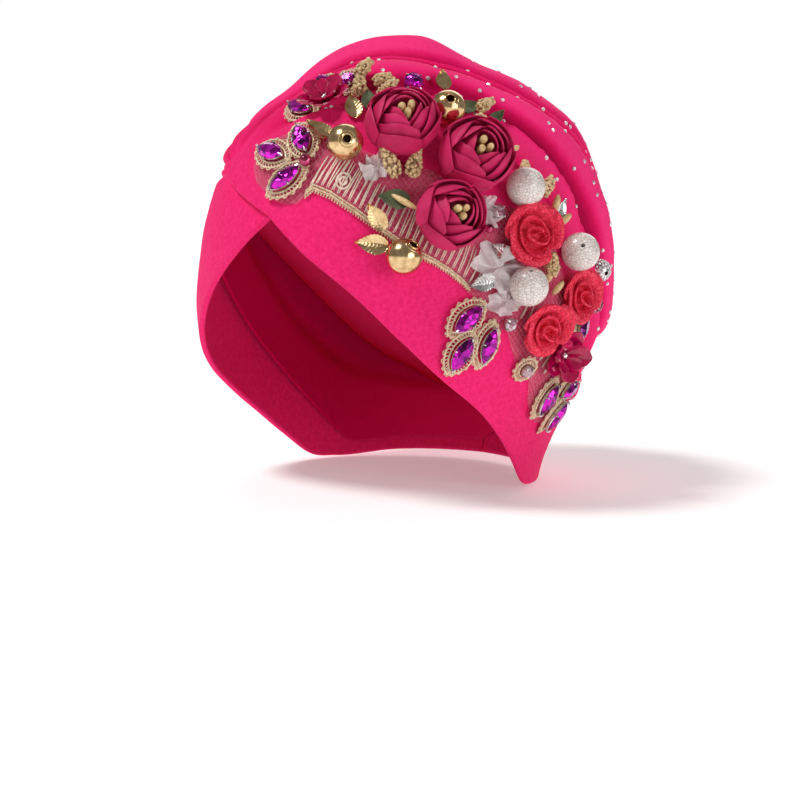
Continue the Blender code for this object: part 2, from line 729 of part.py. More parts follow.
# Where each ornament sits: azimuth, level, then its size and how it is turned
BUD_ROSES = table("azimuth level radius turn lean_up lean_across", [
    (35, -39, 14.6, 20, 4, 0),
    (56, -48, 14.8, 80, 8, -6),
    (47, -69, 13.6, 140, -4, -6),
])
FELT_ROSES = table("azimuth level radius turn", [
    (72, -74, 11.0, 0),
    (93, -98, 9.0, 60),
    (78, -109, 9.6, 200),
])
ACRYLIC_FLOWERS = table("azimuth level radius turn", [
    (6, -28, 11.5, 20),
    (88, -121, 11.5, 50),
])
GOLD_BEADS = table("azimuth level radius lean_up lean_across", [
    (20, -47, 7.2, -20, 10),
    (50, -31, 7.0, -10, -12),
    (38, -81, 7.2, 60, 30),
])
PEARLS = table("azimuth level radius lean_up lean_across", [
    (70, -58, 8.0, 60, 20),
    (88, -80, 8.0, 20, -50),
    (69, -93, 8.0, 60, -20),
])
GOLD_LEAVES = table("azimuth level length width turn", [
    (15, -43, 13, 8, 155),
    (20, -34, 12, 7, 110),
    (34, -79, 13, 8, 175),
    (33, -73, 12, 7, 125),
    (51, -27, 9, 6, 20),
])
GREEN_LEAVES = table("azimuth level length width turn", [
    (39, -63, 13, 8, 175),
    (24, -30, 10, 7, 105),
    (59, -36, 13, 8, 0),
])
SILVER_LEAVES = table("azimuth level length width turn", [
    (84, -71, 14, 7, 60),
    (62, -91, 13, 7, 190),
    (67, -83, 13, 7, 150),
])
SPRIGS = table("azimuth level length width turn", [
    (16, -22, 8, 5.5, 100),
    (26, -23, 8, 5.5, 60),
    (35, -55, 10, 5.5, 115),
    (39, -55, 9, 5.5, 75),
    (62, -32, 6, 4.4, 30),
    (78, -59, 8, 5.5, 40),
    (79, -89, 7, 5.0, 90),
])
NAVETTES = table("azimuth level turn", [
    (-3, -49, 165), (6, -44, 125), (5, -58, 45), (-10.5, -27, 170), (55, -106, 40), (54, -119, 65),
    (61, -116, 75), (88, -139, 65), (97, -147, 70), (98, -136, 20), (96, -111, 50),
])
ROUND_STONES = table("azimuth level width clear", [
    (-8, -18, 6.5, 0), (6, -17, 6.5, 0), (41, -24, 7.0, 0),
    (63, -66, 5.5, 1), (67, -108, 5.5, 1), (75, -126, 5.5, 1),
])
SIDE_BEADS = table("azimuth level radius bore", [
    (107, -87, 4.6, 1.0),
    (103, -101, 4.0, 1.0),
])


def rows(columns):
    """The rows of a table, as dictionaries."""
    return [dict(zip(columns, values)) for values in zip(*columns.values())]


def make_cloth():
    over_azimuths = band_azimuths(OVER_BAND_TOP["azimuth"][0], BACK_SEAM, over_top)
    over = band_shell(over_azimuths, over_rim, over_top, over_lift, OVER_BAND_ROWS)
    shell_solid("over_band", *over, "pink_cloth")
    under_azimuths = band_azimuths(UNDER_BAND_TOP["azimuth"][-1], -BACK_SEAM, under_top)
    under = band_shell(under_azimuths, under_rim, under_top, under_lift, UNDER_BAND_ROWS)
    shell_solid("under_band", *under, "pink_cloth")
    shell_solid("crown", *crown_shell(), "pink_cloth")


def make_lace():
    azimuth, share = np.meshgrid(LACE["azimuth"], np.linspace(0.0, 1.0, 6), indexing="ij")
    low = read(LACE, "azimuth", "low", azimuth)
    level = low + (read(LACE, "azimuth", "high", azimuth) - low) * share
    lift = over_lift(azimuth, level) + BAND_THICKNESS + LACE_GAP
    shell_solid("lace", on_form(azimuth, level, lift + LACE_THICKNESS), on_form(azimuth, level, lift), "lace")


def make_flowers(crown):
    for number, row in enumerate(rows(BUD_ROSES), 1):
        seat = Seat(crown, row["azimuth"], row["level"], row["radius"] * 0.42, row["turn"],
                    (row["lean_up"], row["lean_across"]))
        bud_rose(f"bud_rose_{number}", seat, row["radius"])
        bud_stamens(f"bud_stamens_{number}", seat, row["radius"])
    for number, row in enumerate(rows(FELT_ROSES), 1):
        seat = Seat(crown, row["azimuth"], row["level"], row["radius"] * 0.55, row["turn"])
        felt_rose(f"felt_rose_{number}", seat, row["radius"])
    for number, row in enumerate(rows(ACRYLIC_FLOWERS), 1):
        seat = Seat(crown, row["azimuth"], row["level"], row["radius"] * 0.3, row["turn"])
        acrylic_flower(f"acrylic_flower_{number}", seat, row["radius"])


def make_beads(crown):
    for number, row in enumerate(rows(GOLD_BEADS), 1):
        seat = Seat(crown, row["azimuth"], row["level"], row["radius"] * 0.4)
        drilled_bead(f"gold_bead_{number}", leaning(seat, row), row["radius"], 1.6, "gold_metal")
    for number, row in enumerate(rows(PEARLS), 1):
        seat = Seat(crown, row["azimuth"], row["level"], row["radius"] * 0.4)
        drilled_bead(f"pearl_{number}", leaning(seat, row), row["radius"], 0.9, "pearl")
    for number, row in enumerate(rows(SIDE_BEADS), 1):
        seat = Seat(crown, row["azimuth"], row["level"], row["radius"] * 0.9)
        drilled_bead(f"side_bead_{number}", seat, row["radius"], row["bore"], "silver_metal")


def leaning(seat, row):
    """Turns a bead's hole about the bead's middle, which stays where it rests."""
    middle = seat.origin + seat.out * row["radius"]
    lean_up, lean_across = math.radians(row["lean_up"]), math.radians(row["lean_across"])
    seat.out = unit(seat.out * math.cos(lean_up) * math.cos(lean_across)
                    + seat.up * math.sin(lean_up) + seat.across * math.sin(lean_across))
    seat.across = unit(seat.across - seat.out * (seat.across @ seat.out))
    seat.up = np.cross(seat.out, seat.across)
    seat.origin = middle - seat.out * row["radius"]
    return seat


def make_trim(crown):
    for kind, places, material in (("gold_leaf", GOLD_LEAVES, "gold_metal"),
                                   ("green_leaf", GREEN_LEAVES, "green_cloth"),
                                   ("silver_leaf", SILVER_LEAVES, "silver_metal")):
        for number, row in enumerate(rows(places), 1):
            seat = Seat(crown, row["azimuth"], row["level"], 2.5, row["turn"])
            leaf(f"{kind}_{number}", seat, row["length"], row["width"], material)
    for number, row in enumerate(rows(SPRIGS), 1):
        seat = Seat(crown, row["azimuth"], row["level"], 1.6, row["turn"])
        berry_sprig(f"sprig_{number}", seat, row["length"], row["width"])
    for number, row in enumerate(rows(NAVETTES), 1):
        seat = Seat(crown, row["azimuth"], row["level"], 5.0, row["turn"])
        cut_stone(f"navette_{number}", seat, 15.0, 7.5, 4.4, True, "purple_stone")
    for number, row in enumerate(rows(ROUND_STONES), 1):
        seat = Seat(crown, row["azimuth"], row["level"], 2.5)
        material = "clear_stone" if row["clear"] else "purple_stone"
        cut_stone(f"round_stone_{number}", seat, row["width"], row["width"], 4.0, False, material)


def main():
    for thing in list(bpy.data.objects):
        bpy.data.objects.remove(thing, do_unlink=True)
    crown = Crown()
    make_cloth()
    make_lace()
    make_flowers(crown)
    make_beads(crown)
    make_trim(crown)


main()
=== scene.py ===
"""Looks of the pleated pink turban with its crossed head bands and side spray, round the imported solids.

Everything lies in the frame of the solids: +Z up, the front towards -Y, the wearer's left towards +X, the
origin at the top of the inside. Lengths are in millimetres and angles in degrees, until a mesh is made.
"""
import math

import bmesh
import bpy
import numpy as np
from mathutils import Matrix, Vector


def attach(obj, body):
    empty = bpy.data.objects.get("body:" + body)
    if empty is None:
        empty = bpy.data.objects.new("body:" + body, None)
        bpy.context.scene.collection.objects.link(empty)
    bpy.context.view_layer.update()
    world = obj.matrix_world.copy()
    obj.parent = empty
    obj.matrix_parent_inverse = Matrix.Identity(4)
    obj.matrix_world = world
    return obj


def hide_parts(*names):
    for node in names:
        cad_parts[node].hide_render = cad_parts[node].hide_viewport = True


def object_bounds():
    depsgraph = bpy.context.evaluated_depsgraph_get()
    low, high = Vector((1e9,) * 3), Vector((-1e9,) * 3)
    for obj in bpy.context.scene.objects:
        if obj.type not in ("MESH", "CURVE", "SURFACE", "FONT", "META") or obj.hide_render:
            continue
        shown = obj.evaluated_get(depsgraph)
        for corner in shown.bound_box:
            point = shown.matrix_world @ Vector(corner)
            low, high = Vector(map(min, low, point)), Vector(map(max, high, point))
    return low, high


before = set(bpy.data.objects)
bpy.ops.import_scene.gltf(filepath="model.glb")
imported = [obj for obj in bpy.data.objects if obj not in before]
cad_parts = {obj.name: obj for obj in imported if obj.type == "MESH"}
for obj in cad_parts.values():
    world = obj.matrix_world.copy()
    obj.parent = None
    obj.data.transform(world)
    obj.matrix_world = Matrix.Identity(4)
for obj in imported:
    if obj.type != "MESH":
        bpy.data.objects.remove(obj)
cad_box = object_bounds()

MM = 0.001

# Head form that the inside of the turban keeps to
HALF_WIDTH = 77.0
FRONT_REACH = 93.0
BACK_REACH = 97.0
DOME_HEIGHT = 83.0
DOME_EXPONENT = 1.85
DOME_LEAN = 2.0
WIDEST_LEVEL = -83.0
NECK_SCALE = 0.62
NECK_DROP = 74.0

# Cloth: thickness and gaps of its layers, and how far the crown puffs up between its edge and its top
CROWN_THICKNESS = 1.6
SIDE_PUFF = 4.6
TOP_PUFF = 1.8
PUFF_START = 4.5
PUFF_RUN = 8.5
SHOULDER_SHARE = 0.42
SHOULDER_RUN = 0.43
BAND_THICKNESS = 2.2
LAYER_GAP = 0.9
LACE_THICKNESS = 0.9
LACE_GAP = 0.7
REST_GAP = 0.35
CROWN_TUCK = 6.0
CROWN_OVERLAP = 26.0
# Waves of slack in the cloth: how high they stand and how long they are
CROWN_WAVES = ((0.35, 46.0), (0.14, 17.0))
BAND_WAVES = ((0.10, 34.0), (0.05, 13.0))

# Where the bands cross at the front
UNDER_DRAW_IN = 5.0
UNDER_HIDDEN_FROM = -2.0
UNDER_HIDDEN_RUN = 8.0
CLIMB_END = 34.0
CLIMB_RUN = 22.0
TIP_LOW = (-29.0, -54.0)

# Where the band stands off at the side: how far, round which azimuth, and from which level down
RIM_FLARE = 3.5
FLARE_AZIMUTH = -58.0
FLARE_SPREAD = 30.0
FLARE_LEVEL = -67.0
FLARE_RUN = 45.0

# Poles that the crown's pleats run between, as azimuth and level, and the steps between them
FRONT_POLE = (-27.0, -61.0)
BACK_POLE = (168.0, -183.0)
FIRST_STEP = 4.0
EDGE_STEP = 8.0
LAST_STEP = 171.0
ROLL_LIMIT = 150.0
RAY_LENGTH = 160.0
HALVINGS = 40

# Where the pleats start, grow, turn their backs and fade
FOOT_WIDTH = 0.013
LOW_FRONT = 48.0
FOLDS_BEGIN = 5.0
FOLDS_GROW = 26.0
FOLDS_FADE_FROM = 120.0
FOLDS_FADE_RUN = 50.0
FOLDS_FADE = 0.55
FOLDS_TURN_BACK = 52.0
FOLDS_TURN_RUN = 20.0


def table(columns, lines):
    """A small table: its column names, each with the numbers of that column."""
    return {name: np.array(values, float) for name, values in zip(columns.split(), zip(*lines))}


def rows(columns):
    """The rows of a table, as dictionaries."""
    return [dict(zip(columns, values)) for values in zip(*columns.values())]


def numbered(columns):
    """The rows of a table, each after its number."""
    return enumerate(rows(columns), 1)


# Lower edge of both bands, the same on the wearer's left and right
BAND_RIM = table("azimuth level", [
    (0, -70), (12, -83), (26, -99), (38, -115), (50, -130), (65, -145),
    (76, -157), (88, -170), (100, -181), (112, -183), (140, -181), (180, -180),
])
# Folded upper edge of each band, from the front round to the nape
OVER_BAND_TOP = table("azimuth level", [
    (-29, -51), (-20, -46), (-8, -39), (0, -33), (20, -28), (46, -27), (61, -31), (71, -41),
    (80, -55), (88, -71), (96, -94), (102, -123), (108, -146), (118, -154), (135, -157), (180, -158),
])
UNDER_BAND_TOP = table("azimuth level", [
    (-180, -158), (-135, -156), (-115, -148), (-100, -129), (-85, -103), (-70, -79),
    (-56, -64), (-42, -57), (-29, -54), (10, -54),
])
# Folds of the crown: the share of the way from the over band's edge to the under band's at which each lies,
# for some places along the crown, how far its edge stands out, and how deep the cloth tucks behind it
FOLD_PLACES = (7, 16, 23, 38, 55, 100, 122, 136, 171)
FOLDS = table("at7 at16 at23 at38 at55 at100 at122 at136 at171 front_height back_height tuck", [
    (0.60, 0.20, 0.06, 0.05, 0.05, 0.050, 0.07, 0.19, 0.38, 2.4, 2.4, 5.5),
    (0.70, 0.52, 0.42, 0.22, 0.13, 0.150, 0.18, 0.29, 0.47, 2.2, 3.4, 1.0),
    (0.75, 0.58, 0.48, 0.26, 0.16, 0.180, 0.21, 0.32, 0.51, 1.6, 2.0, 1.0),
    (0.80, 0.68, 0.60, 0.41, 0.28, 0.290, 0.32, 0.41, 0.58, 7.6, 4.4, 1.5),
    (0.86, 0.78, 0.73, 0.59, 0.43, 0.430, 0.45, 0.51, 0.65, 3.0, 3.4, 1.5),
    (0.91, 0.86, 0.83, 0.74, 0.58, 0.570, 0.58, 0.62, 0.72, 3.4, 3.8, 1.5),
    (0.95, 0.92, 0.90, 0.85, 0.73, 0.710, 0.72, 0.73, 0.80, 3.4, 3.5, 1.5),
    (0.98, 0.97, 0.96, 0.93, 0.87, 0.850, 0.85, 0.86, 0.90, 3.0, 3.0, 1.0),
])
# Where the crown swells out or, below 0, draws in. The first draws in between the two lobes at the left
CROWN_SWELLS = table("azimuth level height half_width half_height", [
    (124, -128, -6.0, 20, 13), (118, -34, 3.4, 26, 12), (-56, -45, 3.2, 22, 10),
    (-56, -19, -3.4, 32, 9), (124, -4, -3.4, 50, 7),
])
# Lace: for each azimuth, its lowest and highest level on the over band
LACE = table("azimuth low high", [
    (-10, -53, -48), (-6, -59, -43), (-1, -63, -40), (4, -66, -38), (9, -66, -39), (13, -61, -41),
    (18, -63, -43), (25, -68, -45), (32, -74, -47), (40, -81, -49), (46, -85, -51), (48, -109, -53),
    (50, -118, -55), (54, -125, -57), (59, -124, -59), (63, -119, -61), (67, -109, -63),
    (70, -119, -64), (74, -128, -66), (78, -129, -68), (81, -140, -73), (85, -147, -81),
    (90, -151, -96), (93, -151, -106), (96, -150, -109), (98.5, -150, -118), (101, -147, -129),
])


def smooth(value):
    """0 below 0, 1 above 1 and an eased step between."""
    value = np.clip(value, 0.0, 1.0)
    return value * value * (3.0 - 2.0 * value)


def unit(vector):
    return vector / np.linalg.norm(vector, axis=-1, keepdims=True)


def turns(count):
    """Even angles once round, in radians."""
    return np.arange(count) * math.tau / count


def polar(angle, reach, height):
    """Points from angles in radians, reaches and heights."""
    return np.stack(np.broadcast_arrays(reach * np.cos(angle), reach * np.sin(angle), height), -1)


def spans(first, second):
    """Two grids of numbers that cross, each from its ends and its count."""
    return np.meshgrid(np.linspace(*first), np.linspace(*second), indexing="ij")


def run_along(path):
    """Length of a path up to each of its points."""
    return np.concatenate([[0.0], np.cumsum(np.linalg.norm(np.diff(path, axis=0), axis=1))])


def directions(out, hint):
    """Three directions at right angles, the last of them out."""
    across = unit(np.cross(out, hint))
    return np.stack([across, np.cross(out, across), out])


def read(columns, column, place):
    """A column of a table, read at an azimuth in straight lines between its rows."""
    return np.interp(place, columns["azimuth"], columns[column])


def read_curve(columns, column, place, key="azimuth"):
    """A column of a table, read along a smooth curve through its rows."""
    keys, values = columns[key], columns[column]
    slopes = np.gradient(values, keys)
    place = np.clip(place, keys[0], keys[-1])
    after = np.clip(np.searchsorted(keys, place, side="right"), 1, len(keys) - 1)
    before = after - 1
    span = keys[after] - keys[before]
    share = (place - keys[before]) / span
    rise = values[after] - values[before]
    bend_in, bend_out = slopes[before] * span - rise, rise - slopes[after] * span
    bend = bend_in * (1.0 - share) + bend_out * share
    return values[before] + rise * share + share * (1.0 - share) * bend


# Head form
def dome_share(level):
    """0 at the widest section and below, 1 at the top."""
    return np.clip((level - WIDEST_LEVEL) / DOME_HEIGHT, 0.0, 1.0)


def section_scale(level):
    """How large the form's section is at a level, against its widest section."""
    dome = (1.0 - dome_share(level) ** DOME_EXPONENT) ** (1.0 / DOME_EXPONENT)
    drop = np.maximum(WIDEST_LEVEL - level, 0.0) / NECK_DROP
    return np.where(level > WIDEST_LEVEL, dome, NECK_SCALE + (1.0 - NECK_SCALE) / (1.0 + drop ** 4))


def section_middle(level):
    """How far back the middle of the section lies: the dome leans back towards its top."""
    return DOME_LEAN * dome_share(level) ** 2


def section_place(point):
    """A point across and along its section's own half axes, each 1 at the widest section."""
    back = point[..., 1] - section_middle(point[..., 2])
    return point[..., 0] / HALF_WIDTH, back / np.where(back < 0.0, FRONT_REACH, BACK_REACH)


def form_normal(point):
    """Outward direction of the head form at a point on it."""
    across, back = section_place(point)
    level = point[..., 2]
    share, scale = dome_share(level), section_scale(level)
    reach = np.where(back < 0.0, FRONT_REACH, BACK_REACH)
    drop = np.maximum(WIDEST_LEVEL - level, 0.0) / NECK_DROP
    taper = 4.0 * (1.0 - NECK_SCALE) * drop ** 3 / NECK_DROP / (1.0 + drop ** 4) ** 2
    dome_slope = scale ** (2.0 - DOME_EXPONENT) * share ** (DOME_EXPONENT - 1.0) / DOME_HEIGHT
    lean_slope = -back / reach * 2.0 * DOME_LEAN * share / DOME_HEIGHT
    slope = np.where(level > WIDEST_LEVEL, dome_slope + lean_slope, -scale * taper)
    return unit(np.stack([across / HALF_WIDTH, back / reach, slope], -1))


def on_form(azimuth, level, lift=0.0):
    """Point above the form, from azimuth 0 at the front and 90 at the wearer's left, and a level."""
    angle = np.radians(azimuth)
    level = np.asarray(level, float) + 0.0 * angle
    scale = section_scale(level)
    reach = np.where(np.cos(angle) > 0.0, FRONT_REACH, BACK_REACH)
    back = section_middle(level) - reach * scale * np.cos(angle)
    base = np.stack([HALF_WIDTH * scale * np.sin(angle), back, level], -1)
    return base + form_normal(base) * np.asarray(lift)[..., None]


def azimuth_level(point):
    """Azimuth and level of a point on the form."""
    across, back = section_place(point)
    return np.degrees(np.arctan2(across, -back)), point[..., 2]


# Bands
def rim_level(azimuth):
    return read_curve(BAND_RIM, "level", np.abs(azimuth))


def over_rim(azimuth):
    """Lower edge of the over band: its short end runs from its tip down to the point at the front."""
    tip, front = TIP_LOW, (BAND_RIM["azimuth"][0], BAND_RIM["level"][0])
    return np.where(azimuth < front[0], np.interp(azimuth, *zip(tip, front)), rim_level(azimuth))


def under_rim(azimuth):
    """Lower edge of the under band, which draws in where the over band hides it."""
    return rim_level(azimuth) + UNDER_DRAW_IN * smooth((azimuth - UNDER_HIDDEN_FROM) / UNDER_HIDDEN_RUN)


def over_top(azimuth):
    return read_curve(OVER_BAND_TOP, "level", azimuth)


def under_top(azimuth):
    return read_curve(UNDER_BAND_TOP, "level", azimuth)


def band_top(azimuth):
    """Level of the visible folded edge, of whichever band covers that azimuth."""
    return np.where(azimuth > OVER_BAND_TOP["azimuth"][0], over_top(azimuth), under_top(azimuth))


def edge_distance(azimuth, level):
    """How far a place lies above the visible folded edge, measured across the edge."""
    run = math.radians(2.0) * (HALF_WIDTH + FRONT_REACH) / 2.0
    slope = (band_top(azimuth + 1.0) - band_top(azimuth - 1.0)) / run
    return (level - band_top(azimuth)) / np.sqrt(1.0 + slope ** 2)


def under_lift(azimuth, level):
    """Inside of the under band above the form: it stands off at the side towards its rim."""
    flare = RIM_FLARE * np.exp(-((azimuth - FLARE_AZIMUTH) / FLARE_SPREAD) ** 2)
    return CROWN_THICKNESS + LAYER_GAP + flare * smooth((FLARE_LEVEL - level) / FLARE_RUN)


def over_lift(azimuth, level):
    """Inside of the over band above the form: it climbs over the under band at the front."""
    climb = smooth((CLIMB_END - azimuth) / CLIMB_RUN)
    return under_lift(azimuth, level) + (BAND_THICKNESS + LAYER_GAP) * climb


# Crown
class Crown:
    """Places on the crown: along, the angle from the front pole to the back pole, and roll, the angle round
    the line between the poles, 0 on top and growing towards the wearer's left."""

    def __init__(self):
        front, back = on_form(*FRONT_POLE), on_form(*BACK_POLE)
        self.middle = (front + back) / 2.0
        self.axis = unit(front - self.middle)
        self.up = unit(np.array([0.0, 0.0, 1.0]) - self.axis * self.axis[2])
        self.left = np.cross(self.up, self.axis)

    def point(self, along, roll):
        """Where the ray in that direction leaves the head form."""
        along, roll = np.broadcast_arrays(np.radians(along), np.radians(roll))
        side = np.cos(roll)[..., None] * self.up + np.sin(roll)[..., None] * self.left
        ray = np.cos(along)[..., None] * self.axis + np.sin(along)[..., None] * side
        near, far = np.zeros(along.shape), np.full(along.shape, RAY_LENGTH)
        for _ in range(HALVINGS):
            half = (near + far) / 2.0
            place = self.middle + ray * half[..., None]
            inside = (np.hypot(*section_place(place)) < section_scale(place[..., 2])) & (place[..., 2] < 0.0)
            near, far = np.where(inside, half, near), np.where(inside, far, half)
        return self.middle + ray * near[..., None]

    def along_roll(self, point):
        """The two angles of a point."""
        ray = unit(point - self.middle)
        along = np.degrees(np.arccos(np.clip(ray @ self.axis, -1.0, 1.0)))
        return along, np.degrees(np.arctan2(ray @ self.left, ray @ self.up))

    def edge_rolls(self, along, level_at):
        """Rolls at which the crown, followed up on its left and then its right, rises over some levels."""
        edges = []
        for side in (1, -1):
            rolls = np.arange(ROLL_LIMIT, 0.0, -0.5) * side
            azimuth, level = azimuth_level(self.point(along, rolls))
            above = np.nonzero(level > level_at(azimuth))[0]
            edges.append(rolls[above[0]] if len(above) else 0.0)
        return edges


CROWN = Crown()


def crown_rim(azimuth):
    """The crown's own rim, hidden under the bands."""
    return np.maximum(rim_level(azimuth) + CROWN_TUCK, band_top(azimuth) - CROWN_OVERLAP)


def fold_strength(along):
    """Folds start flat at the front pole, and flatten again towards the nape."""
    fade = FOLDS_FADE * smooth((along - FOLDS_FADE_FROM) / FOLDS_FADE_RUN)
    return smooth((along - FOLDS_BEGIN) / FOLDS_GROW) * (1.0 - fade)


# Rows across one pleat, from the tuck behind the last one to its crest, then how its edge rolls over
RISE_ROWS = np.linspace(0.0, 1.0, 16)[1:]
FOOT_ROLL = table("run drop", [
    (0.16, 0.02), (0.38, 0.1), (0.58, 0.27), (0.7, 0.48), (0.66, 0.68), (0.62, 0.86), (0.78, 0.97),
    (1.0, 1.0),
])
CREST_AT = 0.8
CREST_DROP = 0.22
CREASE = 0.25
PLEAT_FULLER = 1.45
FULL_PLEAT = 5.0
TUCK_DEEPER = 3.0
TUCK_RUN = 0.45
# Hoops of the crown, its rows under the bands, its gathers at the front pole, and the painted shade of its
# fold valleys, which grows from the ridge height downward
CROWN_COLUMNS = 150
HIDDEN_ROWS = 6
GATHERS = 19.0
GATHER_HEIGHT = 0.4
GATHER_FADE = 22.0
RIDGE_HEIGHT = 3.7
PAINTED_SHADE_RUN = 7.5
DEEPEST_PAINTED_SHADE = 2.6


def pleat_rows(along):
    """Shares and heights of the cloth's rows across one hoop of the crown."""
    strength = float(fold_strength(along) * (0.15 + 0.85 * smooth(along / LOW_FRONT)))
    backward = smooth((along - FOLDS_TURN_BACK) / FOLDS_TURN_RUN)
    place = np.interp(along, FOLD_PLACES, range(len(FOLD_PLACES)))
    before = min(int(place), len(FOLD_PLACES) - 2)
    climb = np.sin(np.minimum(RISE_ROWS / CREST_AT, 1.0) * math.pi / 2.0) ** 1.8
    past = (RISE_ROWS - CREST_AT) / (1.0 - CREST_AT)
    swell = np.where(past < 0.0, climb, 1.0 - CREST_DROP * past ** 2)
    shares, heights = [], []
    start, tuck = 0.0, 0.0
    for fold, row in enumerate(rows(FOLDS)):
        height = row["front_height"] * (1.0 - backward) + row["back_height"] * backward
        height = max(height, min(height * PLEAT_FULLER, FULL_PLEAT))
        first, second = (row[f"at{FOLD_PLACES[near]}"] for near in (before, before + 1))
        edge = first + (second - first) * smooth(place - before)
        crease = CREASE * np.sin(math.tau * (RISE_ROWS * 2.0 + along / 75.0 + fold * 0.37))
        shares.append(start + (edge - start) * RISE_ROWS)
        heights.append(height * swell - tuck * (1.0 - smooth(RISE_ROWS / TUCK_RUN))
                       + crease * np.sin(RISE_ROWS * math.pi))
        crest, tuck = (1.0 - CREST_DROP) * height, row["tuck"] + TUCK_DEEPER
        shares.append(edge + FOOT_WIDTH * FOOT_ROLL["run"])
        heights.append(crest - (crest + tuck) * FOOT_ROLL["drop"])
        start = edge + FOOT_WIDTH
    rest = np.linspace(0.1, 1.0, 7)
    shares.append(start + (1.0 - start) * rest)
    heights.append(-tuck * np.maximum(1.0 - 2.0 * rest, 0.0))
    return np.concatenate(shares), strength * np.concatenate(heights)


def slack(point, waves):
    """Soft unevenness of cloth, the sum of its waves."""
    lift = 0.0
    for height, size in waves:
        across, back, up = (point[..., axis] * math.tau / size for axis in range(3))
        lift = lift + height * ((np.sin(across + 1.7 * np.sin(0.7 * back + 0.3))
                                 + np.sin(1.2 * back + 1.4 * np.sin(0.8 * up + 1.1) + 2.0)
                                 + np.sin(0.9 * up + 1.5 * np.sin(1.1 * across + 0.5) + 4.0)) / 3.0)
    return lift


def pleated_lift(along, height, point):
    """Outside of the crown above the form, where its pleats stand that high."""
    azimuth, level = azimuth_level(point)
    clear = smooth((edge_distance(azimuth, level) - PUFF_START) / PUFF_RUN)
    puff = SIDE_PUFF + (TOP_PUFF - SIDE_PUFF) * smooth((dome_share(level) - SHOULDER_SHARE) / SHOULDER_RUN)
    puff = puff * (0.1 + 0.9 * smooth((along - 8.0) / 42.0))
    for row in rows(CROWN_SWELLS):
        across = (azimuth - row["azimuth"]) / row["half_width"]
        upward = (level - row["level"]) / row["half_height"]
        puff = puff + row["height"] * np.exp(-across ** 2 - upward ** 2)
    return CROWN_THICKNESS + np.maximum(clear * (puff + height + slack(point, CROWN_WAVES)), 0.0)


def crown_walls():
    """Outside and inside grids of the pleated crown, hoop by hoop, and the painted shade of each point,
    darker the deeper it lies in a fold.
    """
    outer, inner, fold_shades = [], [], []
    hidden = np.linspace(0.0, 1.0, HIDDEN_ROWS + 1)
    for along in np.linspace(FIRST_STEP, LAST_STEP, CROWN_COLUMNS):
        start, end = CROWN.edge_rolls(max(along, EDGE_STEP), crown_rim)
        left, right = CROWN.edge_rolls(max(along, EDGE_STEP), band_top)
        shares, heights = pleat_rows(along)
        rolls = np.concatenate([start + (left - start) * hidden, left + (right - left) * shares,
                                right + (end - right) * hidden[1:]])
        heights = np.concatenate([np.zeros(HIDDEN_ROWS + 1), heights, np.zeros(HIDDEN_ROWS)])
        point = CROWN.point(along, rolls)
        ridges = abs(np.sin(np.radians(rolls) * GATHERS / 2.0 + 0.6)) ** 0.7 - 0.6
        gather = GATHER_HEIGHT * math.exp(-(along - FIRST_STEP) / GATHER_FADE) * ridges
        lift = pleated_lift(along, heights + gather, point)[:, None]
        normal = form_normal(point)
        outer.append(point + normal * lift)
        inner.append(point + normal * (lift - CROWN_THICKNESS))
        # Painted shade: the deeper below the ridge height a point lies, the darker its colour
        depth = (RIDGE_HEIGHT - np.maximum(heights, -DEEPEST_PAINTED_SHADE)) / PAINTED_SHADE_RUN
        fold_shades.append(np.clip(depth, 0.0, 1.0) * fold_strength(along))
    return np.array(outer), np.array(inner), np.array(fold_shades)


BACK_SEAM = 179.7
BAND_COLUMNS = 260
BAND_ROWS = 60
EDGE_RADIUS = 1.3
EDGE_SWELL = 0.22
EDGE_SWELL_RUN = 5.0


def band_walls(first, last, low, top, lift):
    """Outside and inside grids of a band whose folded edges are half round."""
    fine = np.linspace(first, last, 2000)
    run = run_along(on_form(fine, top(fine)))
    edge = (0.0, 0.06, 0.25, 0.6, EDGE_RADIUS)
    outer, inner = [], []
    for azimuth in np.interp(np.linspace(0.0, run[-1], BAND_COLUMNS), run, fine):
        bottom, above = float(low(azimuth)), float(top(azimuth))
        half = (above - bottom) / 2.0
        depth = np.concatenate([edge, np.linspace(EDGE_RADIUS, half, BAND_ROWS // 2)[1:]])
        depth = np.minimum(depth, half)
        level = np.concatenate([bottom + depth, (above - depth)[::-1][1:]])
        depth = np.concatenate([depth, depth[::-1][1:]])
        round_off = np.sqrt(np.maximum(1.0 - (1.0 - np.minimum(depth / EDGE_RADIUS, 1.0)) ** 2, 0.0))
        half = BAND_THICKNESS / 2.0 * round_off * (1.0 + EDGE_SWELL * np.exp(-(depth / EDGE_SWELL_RUN) ** 2))
        places = np.full(level.shape, azimuth)
        base = on_form(places, level)
        middle = lift(places, level) + BAND_THICKNESS / 2.0
        outer.append(on_form(places, level, middle + half + slack(base, BAND_WAVES) * round_off))
        inner.append(on_form(places, level, middle - half))
    return np.array(outer), np.array(inner)


# Places on the cloth
def cloth_lift(azimuth, level):
    """Height above the form of whatever cloth lies there, with the lace on it."""
    if edge_distance(azimuth, level) > 0.5:
        point = on_form(azimuth, level)
        along, roll = CROWN.along_roll(point)
        left, right = CROWN.edge_rolls(along, band_top)
        shares, heights = pleat_rows(along)
        height = np.interp((roll - left) / (right - left), np.maximum.accumulate(shares), heights)
        return float(pleated_lift(along, height, point))
    inside = over_lift if azimuth > OVER_BAND_TOP["azimuth"][0] else under_lift
    lift = float(inside(azimuth, level)) + BAND_THICKNESS
    if LACE["azimuth"][0] < azimuth < LACE["azimuth"][-1]:
        if read(LACE, "low", azimuth) < level < read(LACE, "high", azimuth):
            lift += LACE_GAP + LACE_THICKNESS
    return lift


